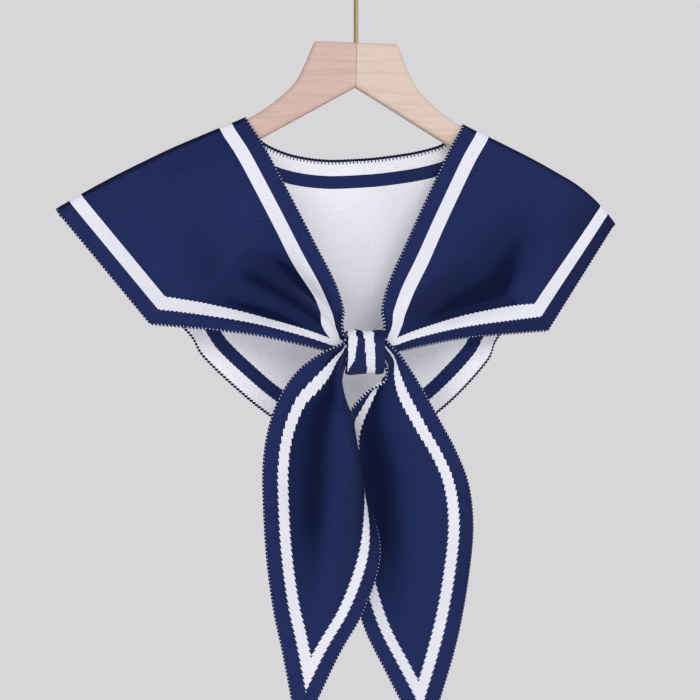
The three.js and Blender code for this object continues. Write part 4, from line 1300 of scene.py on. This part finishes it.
class COLLAR_OT_stage(bpy.types.Operator):
    """Set the camera, the lights and the pale floor"""
    bl_idname = "collar.stage"
    bl_label = "Stage"

    def execute(self, context):
        scene = context.scene
        camera = bpy.data.objects.new("camera", bpy.data.cameras.new("camera"))
        scene.collection.objects.link(camera)
        beside, before = VIEW_DISTANCE * math.sin(VIEW_TURN), VIEW_DISTANCE * math.cos(VIEW_TURN)
        camera.location = (VIEW_TARGET[0] + beside, -before, VIEW_TARGET[2])
        camera.rotation_euler = (math.pi / 2, 0, VIEW_TURN)
        camera.data.sensor_width = VIEW_SENSOR
        camera.data.lens = VIEW_LENS
        camera.data.clip_start = 0.05
        scene.camera = camera
        for light in LIGHTS:
            area_light(*light)

        angle = np.linspace(0, 2 * math.pi, FLOOR_SIDES, endpoint=False)
        circle = np.stack([np.cos(angle), np.sin(angle), 0 * angle], axis=-1) * FLOOR_RADIUS
        circle[:, 2] = FLOOR_HEIGHT
        floor = new_piece("floor", circle, [list(range(FLOOR_SIDES))], smooth=False)
        material, tree, shader = node_tree("floor_paint")
        patches = noise(tree, object_place(tree), scale=3, detail=3)
        wire(tree, mixed(tree, patches, *FLOOR_COLOURS), shader.inputs["Base Color"])
        shader.inputs["Roughness"].default_value = FLOOR_ROUGHNESS
        floor.data.materials.append(material)

        # The backdrop as it is seen, a brighter one for the soft light, and a dim one for the gleam.
        world = bpy.data.worlds.new("room")
        world.use_nodes = True
        tree = world.node_tree
        background = tree.nodes["Background"]
        background.inputs["Color"].default_value = ROOM_COLOUR
        path = tree.nodes.new("ShaderNodeLightPath")
        seen = tree.nodes.new("ShaderNodeMix")
        wire(tree, path.outputs["Is Camera Ray"], seen.inputs[0])
        wire(tree, ramp(tree, path.outputs["Is Glossy Ray"], 0, 1, ROOM_LIGHT, ROOM_GLEAM), seen.inputs[2])
        seen.inputs[3].default_value = ROOM_SEEN
        wire(tree, seen.outputs[0], background.inputs["Strength"])
        scene.world = world
        scene.view_settings.view_transform = "Standard"
        return {"FINISHED"}


class COLLAR_PT_panel(bpy.types.Panel):
    """Lists the sizes, the colours and the steps"""
    bl_idname = "COLLAR_PT_panel"
    bl_label = "Sailor collar"
    bl_space_type = "VIEW_3D"
    bl_region_type = "UI"
    bl_category = "Collar"

    def draw(self, context):
        layout = self.layout
        for group in (context.scene.collar_sizes, context.scene.collar_colours):
            box = layout.box()
            for key in group.__annotations__:
                box.prop(group, key)
        for step in STEPS:
            layout.operator(step.bl_idname)


STEPS = (
    COLLAR_OT_stage, COLLAR_OT_hanger, COLLAR_OT_panel, COLLAR_OT_tails, COLLAR_OT_knot, COLLAR_OT_selvedge)
CLASSES = (CollarSizes, CollarColours, *STEPS, COLLAR_PT_panel)


def register():
    """Registers the classes, and gives the scene its sizes and colours."""
    for cls in CLASSES:
        bpy.utils.register_class(cls)
    bpy.types.Scene.collar_sizes = bpy.props.PointerProperty(type=CollarSizes)
    bpy.types.Scene.collar_colours = bpy.props.PointerProperty(type=CollarColours)


def unregister():
    """Takes back what register does."""
    del bpy.types.Scene.collar_colours
    del bpy.types.Scene.collar_sizes
    for cls in reversed(CLASSES):
        bpy.utils.unregister_class(cls)


def main():
    """Runs the steps in order."""
    register()
    bpy.ops.collar.stage()
    bpy.ops.collar.hanger()
    bpy.ops.collar.panel()
    bpy.ops.collar.tails()
    bpy.ops.collar.knot()
    bpy.ops.collar.selvedge()


if __name__ == "__main__":
    main()
